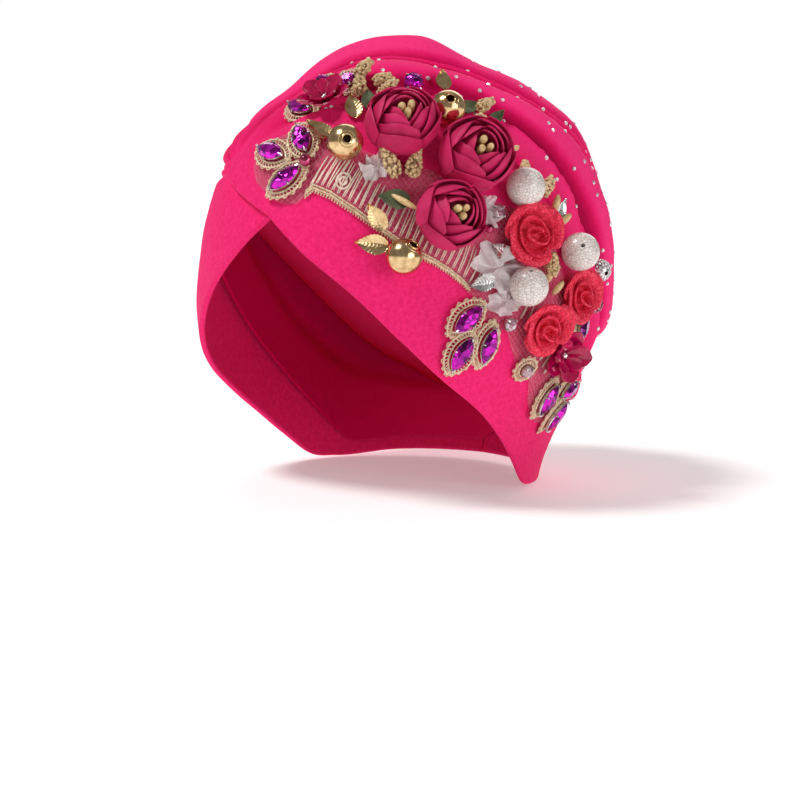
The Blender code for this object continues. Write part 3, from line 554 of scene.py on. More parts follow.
class Seat:
    """A place on the cloth with its own directions: across (growing azimuth), up the cloth, and out.

    It leans with the cloth under its feet, which stand round it at a reach, and then as its row says.
    """

    def __init__(self, row, reach):
        base = on_form(row["azimuth"], row["level"])
        out = form_normal(base)
        across = unit(np.cross(np.array([0.0, 0.0, 1.0]), out))
        up = np.cross(out, across)
        feet = np.append(polar(turns(8), reach, 0.0)[:, :2], [[0.0, 0.0]], axis=0)
        heights = []
        for foot in feet:
            azimuth, level = azimuth_level(base + across * foot[0] + up * foot[1])
            cloth = on_form(azimuth, level, cloth_lift(float(azimuth), float(level)))
            heights.append((cloth - base) @ out)
        slope = np.array(heights) @ feet / (4.0 * reach ** 2)
        lean_up = math.tan(math.radians(row.get("lean_up", 0.0)))
        lean_across = math.tan(math.radians(row.get("lean_across", 0.0)))
        rest = max(heights - feet @ slope) + REST_GAP + reach * math.hypot(lean_up, lean_across)
        self.origin = base + out * rest
        out = unit(out - across * slope[0] - up * slope[1])
        across = unit(across - out * (across @ out))
        up = np.cross(out, across)
        turned = math.radians(row.get("turn", 0.0))
        across, up = (across * math.cos(turned) + up * math.sin(turned),
                      up * math.cos(turned) - across * math.sin(turned))
        self.aim(out + up * lean_up + across * lean_across, across)

    def aim(self, out, across):
        """Gives the seat a new outward direction."""
        self.out = unit(out)
        self.across = unit(across - self.out * (across @ self.out))
        self.up = np.cross(self.out, self.across)

    def roll(self, row):
        """Turns a bead's hole about the bead's middle, which stays where it rests."""
        middle = self.origin + self.out * row["radius"]
        hole_up, hole_across = math.radians(row["hole_up"]), math.radians(row["hole_across"])
        self.aim(self.out * math.cos(hole_up) * math.cos(hole_across)
                 + self.up * math.sin(hole_up) + self.across * math.sin(hole_across), self.across)
        self.origin = middle - self.out * row["radius"]
        return self

    def place(self, point):
        return self.origin + point @ np.stack([self.across, self.up, self.out])


# Meshes
OUTWARD = (0.0, 0.0, 1.0)
STRAND_DEPTH = 0.22
STRAND_PITCH = 3.0
# Edges that turn by more degrees than this stay sharp, on cloth and thread and on moulded things
CLOTH_SHARP = 60.0
MOULDED_SHARP = 50.0


def add_object(name, data):
    made = bpy.data.objects.new(name, data)
    bpy.context.scene.collection.objects.link(made)
    return made


def grid_normals(grid):
    return np.cross(np.gradient(grid, axis=0), np.gradient(grid, axis=1))


def grid_faces(columns, count, wrap=False, close=False):
    """Quads of a grid of points. Where it wraps each column is a ring; where it closes the columns are."""
    index = np.arange(columns * count).reshape(columns, count)
    if close:
        index = np.append(index, index[:1], axis=0)
    if wrap:
        index = np.append(index, index[:, :1], axis=1)
    quads = np.stack([index[:-1, :-1], index[1:, :-1], index[1:, 1:], index[:-1, 1:]], -1)
    return quads.reshape(-1, 4).tolist()


def lathe(profile, sides, middle=(0.0, 0.0)):
    """Rings of points round an upright line, from a profile of radius and height."""
    profile = np.asarray(profile, float)
    return polar(turns(sides), profile[:, :1], profile[:, 1:]) + (*middle, 0.0)


def ball(radius, start, count):
    """Profile of a ball that stands on its lowest point, open up to an angle at both ends."""
    angle = np.linspace(start, math.pi - start, count)
    return np.stack([np.sin(angle), 1.0 - np.cos(angle)], -1) * radius


def seed_bead(radius, length, count):
    """Profile of a long round bead."""
    share = np.linspace(0.0, 1.0, count)
    return np.stack([radius * np.sqrt(np.maximum(1.0 - (2.0 * share - 1.0) ** 2, 0.02)), share * length], -1)


class Shape:
    """Points in millimetres, in the directions of a seat where it has one, and faces, made into one piece."""

    def __init__(self, seat=None):
        self.seat = seat
        self.points, self.faces, self.looks, self.count = [], [], [], 0

    def add(self, points, faces, look=0):
        points = np.asarray(points, float).reshape(-1, 3)
        self.points.append(self.seat.place(points) if self.seat else points)
        self.faces += [[self.count + index for index in face] for face in faces]
        self.looks += [look] * len(faces)
        self.count += len(points)

    def rings(self, rings, look=0):
        """Rings of points in a row, with both ends closed."""
        count, sides = rings.shape[:2]
        ends = [list(range(sides)), list(range((count - 1) * sides, count * sides))]
        self.add(rings, grid_faces(count, sides, True) + ends, look)

    def loop(self, rings):
        """Rings of points in a row, the last joined to the first."""
        self.add(rings, grid_faces(*rings.shape[:2], True, True))

    def wall(self, outer, inner):
        """A closed wall between two grids."""
        columns, count = outer.shape[:2]
        around = np.concatenate([outer, inner[:, ::-1]], axis=1)
        first = [[row, row + 1, 2 * count - 2 - row, 2 * count - 1 - row] for row in range(count - 1)]
        last = [[(columns - 1) * 2 * count + index for index in face] for face in first]
        self.add(around, grid_faces(columns, 2 * count, True) + first + last)

    def leafy(self, grid, thickness):
        """A closed wall from a grid, thickened to its underside."""
        normals = grid_normals(grid)
        size = np.linalg.norm(normals, axis=-1, keepdims=True)
        self.wall(grid, grid - normals / np.maximum(size, 1e-9) * thickness)

    def cord(self, path, normals, radius, look=0, sides=6, strands=0):
        """A round thread along a path, or a cord of strands laid round each other."""
        path = np.asarray(path, float)
        ahead = unit(np.gradient(path, axis=0))
        side = unit(np.cross(ahead, normals))
        up = np.cross(side, ahead)
        angle = turns(sides)
        reach = np.full((len(path), sides), float(radius))
        if strands:
            twist = run_along(path)[:, None] / STRAND_PITCH * math.tau
            reach *= 1.0 + STRAND_DEPTH * np.cos(strands * (angle - twist))
        reach[[0, -1]] *= 0.5
        around = side[:, None] * np.cos(angle)[None, :, None] + up[:, None] * np.sin(angle)[None, :, None]
        self.rings(path[:, None] + around * reach[..., None], look)

    def make(self, name, looks, slot, stands_for=(), sharp=40.0):
        mesh = bpy.data.meshes.new(name)
        mesh.from_pydata((np.concatenate(self.points) * MM).tolist(), [], self.faces)
        mesh.polygons.foreach_set("material_index", self.looks)
        bm = bmesh.new()
        bm.from_mesh(mesh)
        bmesh.ops.recalc_face_normals(bm, faces=bm.faces)
        bm.to_mesh(mesh)
        bm.free()
        for look in looks:
            mesh.materials.append(look)
        mesh.shade_smooth()
        mesh.set_sharp_from_angle(angle=math.radians(sharp))
        made = add_object(name, mesh)
        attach(made, "root")
        if stands_for:
            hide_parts(*stands_for)
        return made


# Finishes
# Mesh attribute that carries the painted shade of the crown's fold valleys
FOLD_SHADE_ATTRIBUTE = "fold_painted_shade"
RIB_SPREAD = 4.03
EVEN = (1.0, 1.0, 1.0)


class Finish:
    """A principled material, with the patterns that vary its colour and roughness and give it relief."""

    def __init__(self, name, settings):
        self.made = bpy.data.materials.new(name)
        self.made.use_nodes = True
        self.tree = self.made.node_tree
        self.shader = self.tree.nodes["Principled BSDF"]
        for socket, value in settings.items():
            self.shader.inputs[socket.replace("_", " ")].default_value = value
        self.place = self.tree.nodes.new("ShaderNodeTexCoord").outputs["Object"]

    def node(self, kind, inputs, **settings):
        made = self.tree.nodes.new(kind)
        for key, value in settings.items():
            setattr(made, key, value)
        for socket, value in inputs.items():
            if isinstance(value, bpy.types.NodeSocket):
                self.tree.links.new(value, made.inputs[socket])
            else:
                made.inputs[socket].default_value = value
        return made

    def spread(self, size, turn=(0.0, 0.0, 0.0), stretch=EVEN):
        """Places in steps of that many millimetres, shorter where stretched."""
        turn = [math.radians(angle) for angle in turn]
        scale = [part / (size * MM) for part in stretch]
        turned = self.node("ShaderNodeMapping", {"Vector": self.place, "Rotation": turn})
        return self.node("ShaderNodeMapping", {"Vector": turned.outputs[0], "Scale": scale}).outputs[0]

    def noise(self, size, detail):
        inputs = {"Vector": self.spread(size), "Scale": 1.0, "Detail": detail}
        return self.node("ShaderNodeTexNoise", inputs).outputs["Fac"]

    def cells(self, size, result="Distance", feature="F1", stretch=EVEN):
        inputs = {"Vector": self.spread(size, stretch=stretch), "Scale": 1.0}
        return self.node("ShaderNodeTexVoronoi", inputs, feature=feature).outputs[result]

    def ribs(self, size, turn):
        """Wavy ridges across a turned direction, about a quarter further apart than the size."""
        inputs = {"Vector": self.spread(size * RIB_SPREAD, turn), "Scale": 1.0, "Distortion": 0.6,
                  "Detail": 1.0, "Detail Scale": 1.5}
        return self.node("ShaderNodeTexWave", inputs).outputs["Fac"]

    def fold_shade(self, size, detail, share):
        """Painted shade in the crown's fold valleys, read from a mesh attribute, with a share of noise."""
        depth = self.node("ShaderNodeAttribute", {}, attribute_name=FOLD_SHADE_ATTRIBUTE).outputs["Fac"]
        uneven = self.node("ShaderNodeMath", {0: self.noise(size, detail), 1: share}, operation="MULTIPLY")
        return self.node("ShaderNodeMath", {0: depth, 1: uneven.outputs[0]}, operation="ADD").outputs[0]

    def pattern(self, kind, *how):
        return {"noise": self.noise, "cells": self.cells, "ribs": self.ribs, "fold_shade": self.fold_shade}[kind](*how)


def finish(name, colour, roughness, tint, stops, *reliefs, rough=None, **settings):
    """A material coloured by a pattern through stops. Its reliefs are patterns that each end in a height, and
    its varied roughness is a pattern that ends in the lowest and the highest."""
    made = Finish(name, {"Base Color": (*colour, 1.0), "Roughness": roughness, **settings})
    tinted = made.node("ShaderNodeValToRGB", {"Fac": made.pattern(*tint)})
    elements = tinted.color_ramp.elements
    while len(elements) < len(stops):
        elements.new(0.5)
    for element, (place, shade) in zip(elements, stops):
        element.position = place
        element.color = (*shade, 1.0)
    made.tree.links.new(tinted.outputs["Color"], made.shader.inputs["Base Color"])
    if rough:
        *pattern, low, high = rough
        inputs = {"Value": made.pattern(*pattern), "To Min": low, "To Max": high}
        varied = made.node("ShaderNodeMapRange", inputs)
        made.tree.links.new(varied.outputs[0], made.shader.inputs["Roughness"])
    below = {}
    for *pattern, height in reliefs:
        inputs = {"Height": made.pattern(*pattern), "Distance": height * MM, "Strength": 1.0, **below}
        below = {"Normal": made.node("ShaderNodeBump", inputs).outputs[0]}
    for socket, value in below.items():
        made.tree.links.new(value, made.shader.inputs[socket])
    return made.made


def metal(name, dark, light, roughness):
    return finish(name, light, roughness, ("noise", 2.5, 4.0), ((0.3, dark), (0.65, light)),
                  ("noise", 0.9, 3.0, 0.02), Metallic=1.0,
                  rough=("noise", 0.8, 4.0, roughness * 0.7, roughness * 1.5))


def matt(name, deep, light, roughness):
    return finish(name, light, roughness, ("noise", 1.3, 4.0), ((0.3, deep), (0.7, light)),
                  ("noise", 0.4, 3.0, 0.05), Coat_Weight=0.15)


# Painted sparkle: random patches of a stone are painted darker and brighter, standing in for the dark
# reflections and glints of its facets
def stone(name, dark, middle, glint, metallic, clear):
    return finish(name, middle, 0.07, ("cells", 2.1, "Color"), ((0.2, dark), (0.5, middle), (0.8, glint)),
                  ("cells", 1.9, 0.25), Metallic=metallic, Coat_Weight=0.25, Coat_Roughness=0.02,
                  Transmission_Weight=clear, IOR=1.6)


def thread(name, deep, light, metallic):
    return finish(name, light, 0.42, ("noise", 1.1, 4.0), ((0.3, deep), (0.7, light)),
                  ("ribs", 0.35, (30, 30, 0), 0.06), Metallic=metallic)


# Matt stretch cloth with a fine diagonal grain, and for the crown a finer weave with painted light on its
# ridges and painted shade in its fold valleys
BAND_CLOTH = finish(
    "band_cloth", (0.95, 0.022, 0.19), 0.7, ("noise", 1.65, 5.0),
    ((0.3, (0.82, 0.009, 0.134)), (0.72, (0.95, 0.022, 0.19))),
    ("ribs", 0.75, (0, 35, 40), 0.05), ("ribs", 0.75, (0, -50, 20), 0.035), ("noise", 0.675, 3.0, 0.06),
    rough=("noise", 22.0, 2.0, 0.62, 0.8),
    Sheen_Weight=0.04, Sheen_Roughness=0.45, Sheen_Tint=(1.0, 0.2, 0.5, 1.0), Specular_IOR_Level=0.16)
# Painted light and shade: the stops run from lit ridges to shaded valleys
CROWN_CLOTH = finish(
    "crown_cloth", (0.85, 0.008, 0.14), 0.75, ("fold_shade", 1.4, 5.0, 0.16),
    ((0.05, (0.99, 0.038, 0.22)), (0.27, (0.86, 0.012, 0.146)), (0.5, (0.68, 0.002, 0.094)),
     (0.88, (0.42, 0.0, 0.055))),
    ("ribs", 0.6, (0, 35, 40), 0.025), ("noise", 0.55, 3.0, 0.05), rough=("noise", 22.0, 2.0, 0.6, 0.75),
    Sheen_Weight=0.02, Sheen_Roughness=0.4, Sheen_Tint=(1.0, 0.3, 0.6, 1.0), Specular_IOR_Level=0.07)
PETAL = finish(
    "petal_cloth", (0.55, 0.012, 0.1), 0.55, ("noise", 7.0, 4.0),
    ((0.25, (0.44, 0.003, 0.066)), (0.75, (0.68, 0.016, 0.13))),
    ("ribs", 0.45, (20, 60, 0), 0.035), ("noise", 0.5, 3.0, 0.03),
    Sheen_Weight=0.08, Sheen_Tint=(1.0, 0.3, 0.5, 1.0), Specular_IOR_Level=0.3)
FELT = finish(
    "glitter_felt", (0.74, 0.01, 0.035), 0.8, ("noise", 0.9, 6.0),
    ((0.36, (0.56, 0.002, 0.03)), (0.54, (0.9, 0.01, 0.062)), (0.7, (0.98, 0.1, 0.18))),
    ("noise", 0.6, 5.0, 0.28), ("cells", 0.45, 0.12), rough=("cells", 0.7, "Color", 0.35, 0.95),
    Sheen_Weight=0.12, Sheen_Tint=(1.0, 0.2, 0.3, 1.0))
ACRYLIC = finish(
    "clear_pink", (0.5, 0.0, 0.08), 0.12, ("noise", 3.5, 3.0),
    ((0.3, (0.36, 0.0, 0.05)), (0.7, (0.8, 0.002, 0.13))), ("noise", 1.6, 3.0, 0.12),
    Transmission_Weight=0.2, IOR=1.45, Coat_Weight=0.35, Coat_Roughness=0.05)
CRACKS = ("cells", 1.5, "Distance", "DISTANCE_TO_EDGE", (1.0, 1.0, 1.5))
PEARL = finish(
    "crackled_pearl", (0.88, 0.85, 0.82), 0.25, CRACKS,
    ((0.0, (0.5, 0.36, 0.32)), (0.08, (0.7, 0.62, 0.57)), (0.18, (0.84, 0.8, 0.75))), (*CRACKS, 0.07),
    Coat_Weight=0.5, Coat_Roughness=0.08)
LEAF = finish(
    "leaf_cloth", (0.06, 0.1, 0.045), 0.7, ("noise", 3.0, 5.0),
    ((0.3, (0.035, 0.052, 0.018)), (0.7, (0.12, 0.15, 0.06))), ("ribs", 0.5, (0, 30, 0), 0.04),
    Sheen_Weight=0.25)
NET = finish(
    "tulle", (0.6, 0.2, 0.28), 0.6, ("noise", 0.8, 3.0),
    ((0.3, (0.42, 0.08, 0.14)), (0.7, (0.72, 0.3, 0.36))), ("cells", 0.8, 0.05), Alpha=0.3)
WHITE_NET = finish(
    "white_tulle", (0.97, 0.95, 0.95), 0.35, ("noise", 1.2, 3.0),
    ((0.3, (0.76, 0.68, 0.69)), (0.7, (0.97, 0.95, 0.94))), ("cells", 0.7, 0.08), Alpha=0.66)
GOLD = metal("pale_gold", (0.56, 0.35, 0.15), (0.86, 0.63, 0.34), 0.17)
SILVER = metal("silver", (0.5, 0.5, 0.49), (0.86, 0.86, 0.84), 0.2)
PIP = matt("pip", (0.56, 0.34, 0.13), (0.88, 0.64, 0.33), 0.4)
BERRY = matt("berry", (0.44, 0.28, 0.12), (0.9, 0.68, 0.38), 0.4)
# Painted shade: the floor inside a bud's cup, painted near black
BUD_FLOOR_SHADE = matt("bud_floor_painted_shade", (0.14, 0.0, 0.02), (0.26, 0.001, 0.04), 0.8)
# Painted shade: the inside of a bead's thread hole, painted near black
HOLE_SHADE = matt("painted_hole_shade", (0.02, 0.006, 0.006), (0.05, 0.012, 0.014), 0.8)
PURPLE = stone("purple_glass", (0.09, 0.0, 0.085), (0.36, 0.0, 0.31), (0.8, 0.004, 0.62), 0.8, 0.0)
CLEAR = stone("clear_glass", (0.35, 0.1, 0.18), (0.8, 0.62, 0.68), (0.95, 0.9, 0.92), 0.3, 0.3)
CRYSTAL = stone("crystal", (0.6, 0.54, 0.6), (0.9, 0.87, 0.9), (0.98, 0.97, 0.98), 0.25, 0.0)
GARNET = stone("red_glass", (0.12, 0.0, 0.02), (0.5, 0.01, 0.1), (0.8, 0.05, 0.22), 0.3, 0.2)
GOLD_THREAD = thread("gold_thread", (0.56, 0.38, 0.22), (0.95, 0.77, 0.55), 0.3)
CREAM_THREAD = thread("cream_thread", (0.72, 0.5, 0.4), (0.97, 0.83, 0.72), 0.1)
NET_THREAD = thread("net_thread", (0.55, 0.1, 0.17), (0.8, 0.3, 0.38), 0.0)
PINK_THREAD = thread("pink_thread", (0.62, 0.004, 0.1), (0.85, 0.012, 0.16), 0.0)
PAPER = finish("floor_paper", (0.97, 0.97, 0.97), 0.9, ("noise", 60.0, 2.0),
               ((0.3, (0.96, 0.96, 0.96)), (0.7, (0.98, 0.98, 0.98))),
               Emission_Strength=0.3, Emission_Color=(1.0, 1.0, 1.0, 1.0))


# Cloth
def make_crown(outer, inner, fold_shades):
    shape = Shape()
    shape.wall(outer, inner)
    made = shape.make("pleated_crown", [CROWN_CLOTH], "pink_cloth", ["crown"], CLOTH_SHARP)
    # The crown's painted shade, point by point, which sets its colour
    depth = made.data.attributes.new(FOLD_SHADE_ATTRIBUTE, "FLOAT", "POINT")
    depth.data.foreach_set("value", np.concatenate([fold_shades, fold_shades[:, ::-1]], axis=1).ravel())


def make_bands():
    for name, node, flat, area, walls in (
            ("over_band_cloth", "over_band", (0.09, 0.32), 0.0186,
             band_walls(OVER_BAND_TOP["azimuth"][0], BACK_SEAM, over_rim, over_top, over_lift)),
            ("under_band_cloth", "under_band", (0.075, 0.29), 0.0129,
             band_walls(UNDER_BAND_TOP["azimuth"][-1], -BACK_SEAM, under_rim, under_top, under_lift))):
        shape = Shape()
        shape.wall(*walls)
        made = shape.make(name, [BAND_CLOTH], "pink_cloth", [node], CLOTH_SHARP)


# Levels of the nape seam's stitches with the step between them, how wide they are, and their thread
SEAM_LEVELS = (-178.0, -159.5, 0.7)
SEAM_HALF = 1.5
SEAM_THREAD = 0.28


def make_seam():
    """Ladder stitches that join the two bands behind."""
    levels = np.arange(*SEAM_LEVELS)
    azimuths = 180.0 + np.where(np.arange(len(levels)) % 2, SEAM_HALF, -SEAM_HALF)
    lift = under_lift(179.0, levels) + BAND_THICKNESS + 0.12
    shape = Shape()
    shape.cord(on_form(azimuths, levels, lift), form_normal(on_form(azimuths, levels)), SEAM_THREAD)
    shape.make("back_seam_stitches", [PINK_THREAD], "pink_cloth")


CRYSTAL_STEP = 9.6
CRYSTAL_ROW_STEP = 5.7
CRYSTAL_RADIUS = 0.95
CRYSTAL_CUT = [(0.75, -0.2), (1.0, 0.15), (0.62, 0.62)]
CRYSTAL_ALONG = (20.0, 164.0)
CRYSTAL_STRAY = 2.0
CRYSTAL_FROM_ROLL = -62.0
# Crystals keep this far off the bands, off steep places, and on one side of a line: its direction over the
# plan, and how far on that side of the middle it lies
CRYSTAL_EDGE = 6.0
CRYSTAL_FLATNESS = 0.62
CRYSTAL_LINE = (0.95, 0.30)
CRYSTAL_FROM = -25.0


def make_crystals(outer):
    """Small flat-backed crystals, scattered in staggered rows over the top and the wearer's left."""
    chance = np.random.default_rng(7)
    normals = unit(grid_normals(outer) + 1e-9)
    steps = np.linspace(FIRST_STEP, LAST_STEP, CROWN_COLUMNS)
    shape = Shape()
    for number, along in enumerate(np.arange(*CRYSTAL_ALONG, CRYSTAL_ROW_STEP)):
        column = int(np.argmin(abs(steps - along)))
        run = run_along(outer[column])
        for place in np.arange(CRYSTAL_STEP * (0.3 + 0.5 * (number % 2)), run[-1], CRYSTAL_STEP):
            row = int(np.argmin(abs(run - place - chance.uniform(-CRYSTAL_STRAY, CRYSTAL_STRAY))))
            spot = min(max(column + int(chance.integers(-2, 3)), 0), CROWN_COLUMNS - 1)
            point, out = outer[spot, row], normals[spot, row]
            azimuth, level = azimuth_level(point)
            away = form_normal(on_form(azimuth, level))
            out = out * np.sign(out @ away)
            if out @ away < CRYSTAL_FLATNESS or edge_distance(azimuth, level) < CRYSTAL_EDGE:
                continue
            if CROWN.along_roll(point)[1] < CRYSTAL_FROM_ROLL or point[:2] @ CRYSTAL_LINE < CRYSTAL_FROM:
                continue
            shape.rings(point + lathe(CRYSTAL_CUT, 8) * CRYSTAL_RADIUS @ directions(out, [0.3, 0.5, 0.8]))
    shape.make("crown_crystals", [CRYSTAL], "clear_stone", sharp=10.0)


# Where the feet of ornaments stand round their middle: as a share of the radius, and in millimetres
BUD_FOOT = 0.42
ROUND_FOOT = 0.4
CUPPED_FOOT = 0.3
PAVE_FOOT = 0.9
STONE_FOOT = 2.5
NAVETTE_FOOT = 5.0
SPRIG_FOOT = 1.6
LOOSE_FOOT = 1.5

# Flowers
PETAL_THICKNESS = 0.55
ACRYLIC_THICKNESS = 0.7
PETAL_PROFILE = table("height radius", [
    (0.0, 0.42), (0.13, 0.78), (0.36, 0.98), (0.58, 1.0), (0.80, 0.86), (0.97, 0.62), (1.1, 0.46),
])
BUD_HEIGHT = 1.3
MOUTH_TURN = 20.0
MOUTH_SHIFT = 0.13
# Petals of a bud, from the outside in: how many, how wide the ring stands, where its lips end, how far they
# roll out, half the angle that each spans, and where the ring starts
BUD_LAYERS = table("count scale top lip half start", [
    (5, 0.99, 0.80, 0.050, 52, 0), (4, 0.86, 0.92, 0.040, 58, 31),
    (4, 0.69, 0.99, 0.030, 60, 12), (3, 0.51, 1.01, 0.010, 75, 50),
])
BUD_FLOOR = [(0.02, 0.66), (0.20, 0.65), (0.36, 0.60), (0.46, 0.3), (0.42, 0.03), (0.02, 0.0)]
BUD_PIPS = table("turn radius length", [(20, 1.7, 7.4), (140, 1.8, 6.4), (255, 1.6, 6.9)])


def petal_grid(layer, turn, radius, mouth):
    """A bud's petal, from its foot to a lip that rolls outward, one side under its neighbour."""
    across, rise = spans((-1.0, 1.0, 19), (0.0, 1.0, 16))
    height = rise * layer["top"] * (1.0 - 0.17 * across ** 2 + 0.11 * across)
    reach = layer["scale"] * read_curve(PETAL_PROFILE, "radius", height, "height")
    reach = reach + layer["lip"] * smooth((rise - 0.78) / 0.22) + 0.045 * across * smooth(rise / 0.4)
    height = height - 0.045 * smooth((rise - 0.93) / 0.07)
    angle = np.radians(turn + layer["half"] * (1.0 - 0.22 * rise ** 4) * across + 16.0 * rise)
    closing = smooth((height - 0.25) / 0.75)[..., None]
    return (polar(angle, reach, BUD_HEIGHT * height + 0.02) + closing * (*mouth, 0.0)) * radius


def make_bud(number, row):
    """Petals whose mouth leans up and to the wearer's left, with pips in it."""
    radius = row["radius"]
    seat = Seat(row, radius * BUD_FOOT)
    toward = math.radians(MOUTH_TURN - row["turn"])
    mouth = np.array([math.cos(toward), math.sin(toward)]) * MOUTH_SHIFT
    shape = Shape(seat)
    for layer in rows(BUD_LAYERS):
        for petal in range(int(layer["count"])):
            turn = layer["start"] + petal * 360.0 / layer["count"]
            shape.leafy(petal_grid(layer, turn, radius, mouth), PETAL_THICKNESS)
    floor = lathe(BUD_FLOOR, 20)
    floor[..., :2] += mouth * smooth((floor[..., 2:] - 0.2) / 0.5) * 0.8
    # The cup's floor takes the painted shade
    shape.rings(floor * (radius, radius, radius * BUD_HEIGHT), 1)
    shape.make(f"bud_petals_{number}", [PETAL, BUD_FLOOR_SHADE], "raspberry_cloth", [f"bud_rose_{number}"],
               MOULDED_SHARP)
    pips = Shape(seat)
    for pip in rows(BUD_PIPS):
        profile = seed_bead(pip["radius"], pip["length"], 9)
        profile[:, 0] *= 1.0 + 0.09 * np.cos(profile[:, 1] / pip["length"] * math.tau)
        middle = (polar(math.radians(pip["turn"]), 0.15, 0.0)[:2] + mouth) * radius
        pips.rings(lathe(profile + (0.0, radius * BUD_HEIGHT * 0.66 - 0.4), 12, middle))
    pips.make(f"bud_pips_{number}", [PIP], "stamen_gold", [f"bud_stamens_{number}"])


FELT_WIND_TURNS = 2.6
FELT_THICKNESS = 0.8
FELT_PETALS = table("start size tall", [
    (20, 1.0, 0.50), (135, 0.94, 0.46), (255, 0.97, 0.40), (80, 0.86, 0.54), (200, 0.84, 0.52),
])
FELT_BASE = [(0.02, 0.0), (0.42, 0.0), (0.60, 0.12), (0.45, 0.22), (0.02, 0.30)]


def make_felt_rose(number, row):
    """A strip wound into a rose, its rim flaring outward, over five spread petals."""
    radius = row["radius"] * row["spread"]
    shape = Shape(Seat(row, row["radius"] * ROUND_FOOT))
    wind, rise = spans((0.0, 1.0, 110), (0.0, 1.0, 9))
    angle = wind * math.tau * FELT_WIND_TURNS
    flare = (0.05 + 0.13 * wind) * rise ** 2.5 * (1.0 + 0.6 * np.sin(angle * 2.3 + 1.0))
    top = 0.70 - 0.26 * wind + 0.045 * np.sin(angle * 1.7) - 0.05 * smooth((rise - 0.85) / 0.15) * wind
    strip = polar(angle, 0.09 + 0.60 * wind ** 0.9 + flare, 0.10 + (top - 0.10) * rise)
    shape.leafy(strip * radius, FELT_THICKNESS)
    across, rise = spans((-1.0, 1.0, 25), (0.0, 1.0, 14))
    droop = across ** 2 * rise ** 2
    for petal, place in enumerate(rows(FELT_PETALS)):
        angle = np.radians(place["start"] + 66.0 * (1.0 - 0.30 * rise ** 4) * across)
        reach = 0.28 + place["size"] * (0.66 * rise ** 0.8 - 0.06 * droop)
        reach = reach + 0.06 * smooth((rise - 0.8) / 0.2) + 0.03 * across
        height = 0.05 + place["tall"] * (rise - 0.22 * droop) - 0.07 * smooth((rise - 0.86) / 0.14)
        height = height + 0.03 * np.sin(across * 5.0 + petal) * rise
        shape.leafy(polar(angle, reach, height) * radius, FELT_THICKNESS)
    shape.rings(lathe(FELT_BASE, 20) * radius)
    shape.make(f"felt_petals_{number}", [FELT], "coral_felt", [f"felt_rose_{number}"], CLOTH_SHARP)


def make_acrylic_flower(number, row):
    """Glossy cupped petals in two rings round a small bead."""
    shape = Shape(Seat(row, row["radius"] * CUPPED_FOOT))
    across, rise = spans((-1.0, 1.0, 13), (0.0, 1.0, 12))
    half = 38.0 * np.sin(np.pi * np.minimum(0.16 + 0.84 * rise, 1.0)) ** 0.6 + 2.0
    for size, tall, start in ((1.0, 0.44, 0.0), (0.66, 0.52, 36.0)):
        for turn in np.arange(start, start + 360.0, 72.0):
            height = tall * rise ** 1.5 + 0.05 + 0.09 * across ** 2 * np.sin(np.pi * rise)
            petal = polar(np.radians(turn + half * across), size * (0.06 + 0.94 * rise), height)
            shape.leafy(petal * row["radius"], ACRYLIC_THICKNESS)
    shape.rings(lathe(ball(1.5, 0.03, 9) + (0.0, 0.7), 14), 1)
    shape.make(f"acrylic_petals_{number}", [ACRYLIC, SILVER], "pink_acrylic", [f"acrylic_flower_{number}"],
               MOULDED_SHARP)


# Beads and stones
def bored_ball(radius, bore, count, sides):
    """A ball with a round hole through it."""
    middle = [(bore, radius * 1.6), (bore, radius), (bore, radius * 0.4)]
    return lathe(np.concatenate([ball(radius, math.asin(bore / radius), count), middle]), sides)


def make_bead(name, row, bore, look, slot, node, collar):
    """A bead with a plug of painted shade in its thread hole, and rings round the hole where it has a collar.
    """
    radius = row["radius"]
    shape = Shape(Seat(row, radius * ROUND_FOOT).roll(row))
    shape.loop(bored_ball(radius, bore, 26, 44))
    low, high = radius * 0.4, radius * 1.3
    # Painted shade: a closed plug inside the hole
    shape.rings(lathe([(0.02, low), (bore * 1.02, low), (bore * 1.02, high), (0.02, high)], 16), 1)
    if collar:
        top = radius + math.sqrt(radius ** 2 - bore ** 2)
        foot, turn = 2.0 * radius - top, turns(8)
        collars = ((0.45, top - 0.05, 0.34), (0.45, foot + 0.05, 0.34), (1.7, top - 0.55, 0.16))
        for beside, rise, thick in collars:
            reach = bore + beside + thick * np.cos(turn)
            shape.loop(polar(turns(28)[:, None], reach, rise + thick * np.sin(turn)))
    shape.make(name, [look, HOLE_SHADE], slot, [node], MOULDED_SHARP)


PAVE_CUT = [(0.6, -0.1), (0.74, 0.12), (0.4, 0.42)]
PAVE_STEP = 1.75


def make_pave_bead(number, row):
    """A round bead set all over with small stones."""
    radius = row["radius"]
    shape = Shape(Seat(row, radius * PAVE_FOOT))
    shape.loop(bored_ball(radius, row["bore"], 20, 32))
    for ring, angle in enumerate(np.linspace(0.55, math.pi - 0.55, 7)):
        count = max(round(math.tau * radius * math.sin(angle) / PAVE_STEP), 5)
        for step in range(count):
            out = polar((step + 0.5 * (ring % 2)) * math.tau / count, math.sin(angle), -math.cos(angle))
            cut = lathe(PAVE_CUT, 8) @ directions(out, [0.2, 0.3, 0.9])
            shape.rings((0.0, 0.0, radius) + out * radius + cut, 1)
    looks = [SILVER, CRYSTAL] if number == 1 else [SILVER, GARNET]
    shape.make(f"pave_bead_{number}", looks, "silver_metal", [f"side_bead_{number}"], 20.0)


STONE_SIDES = 16
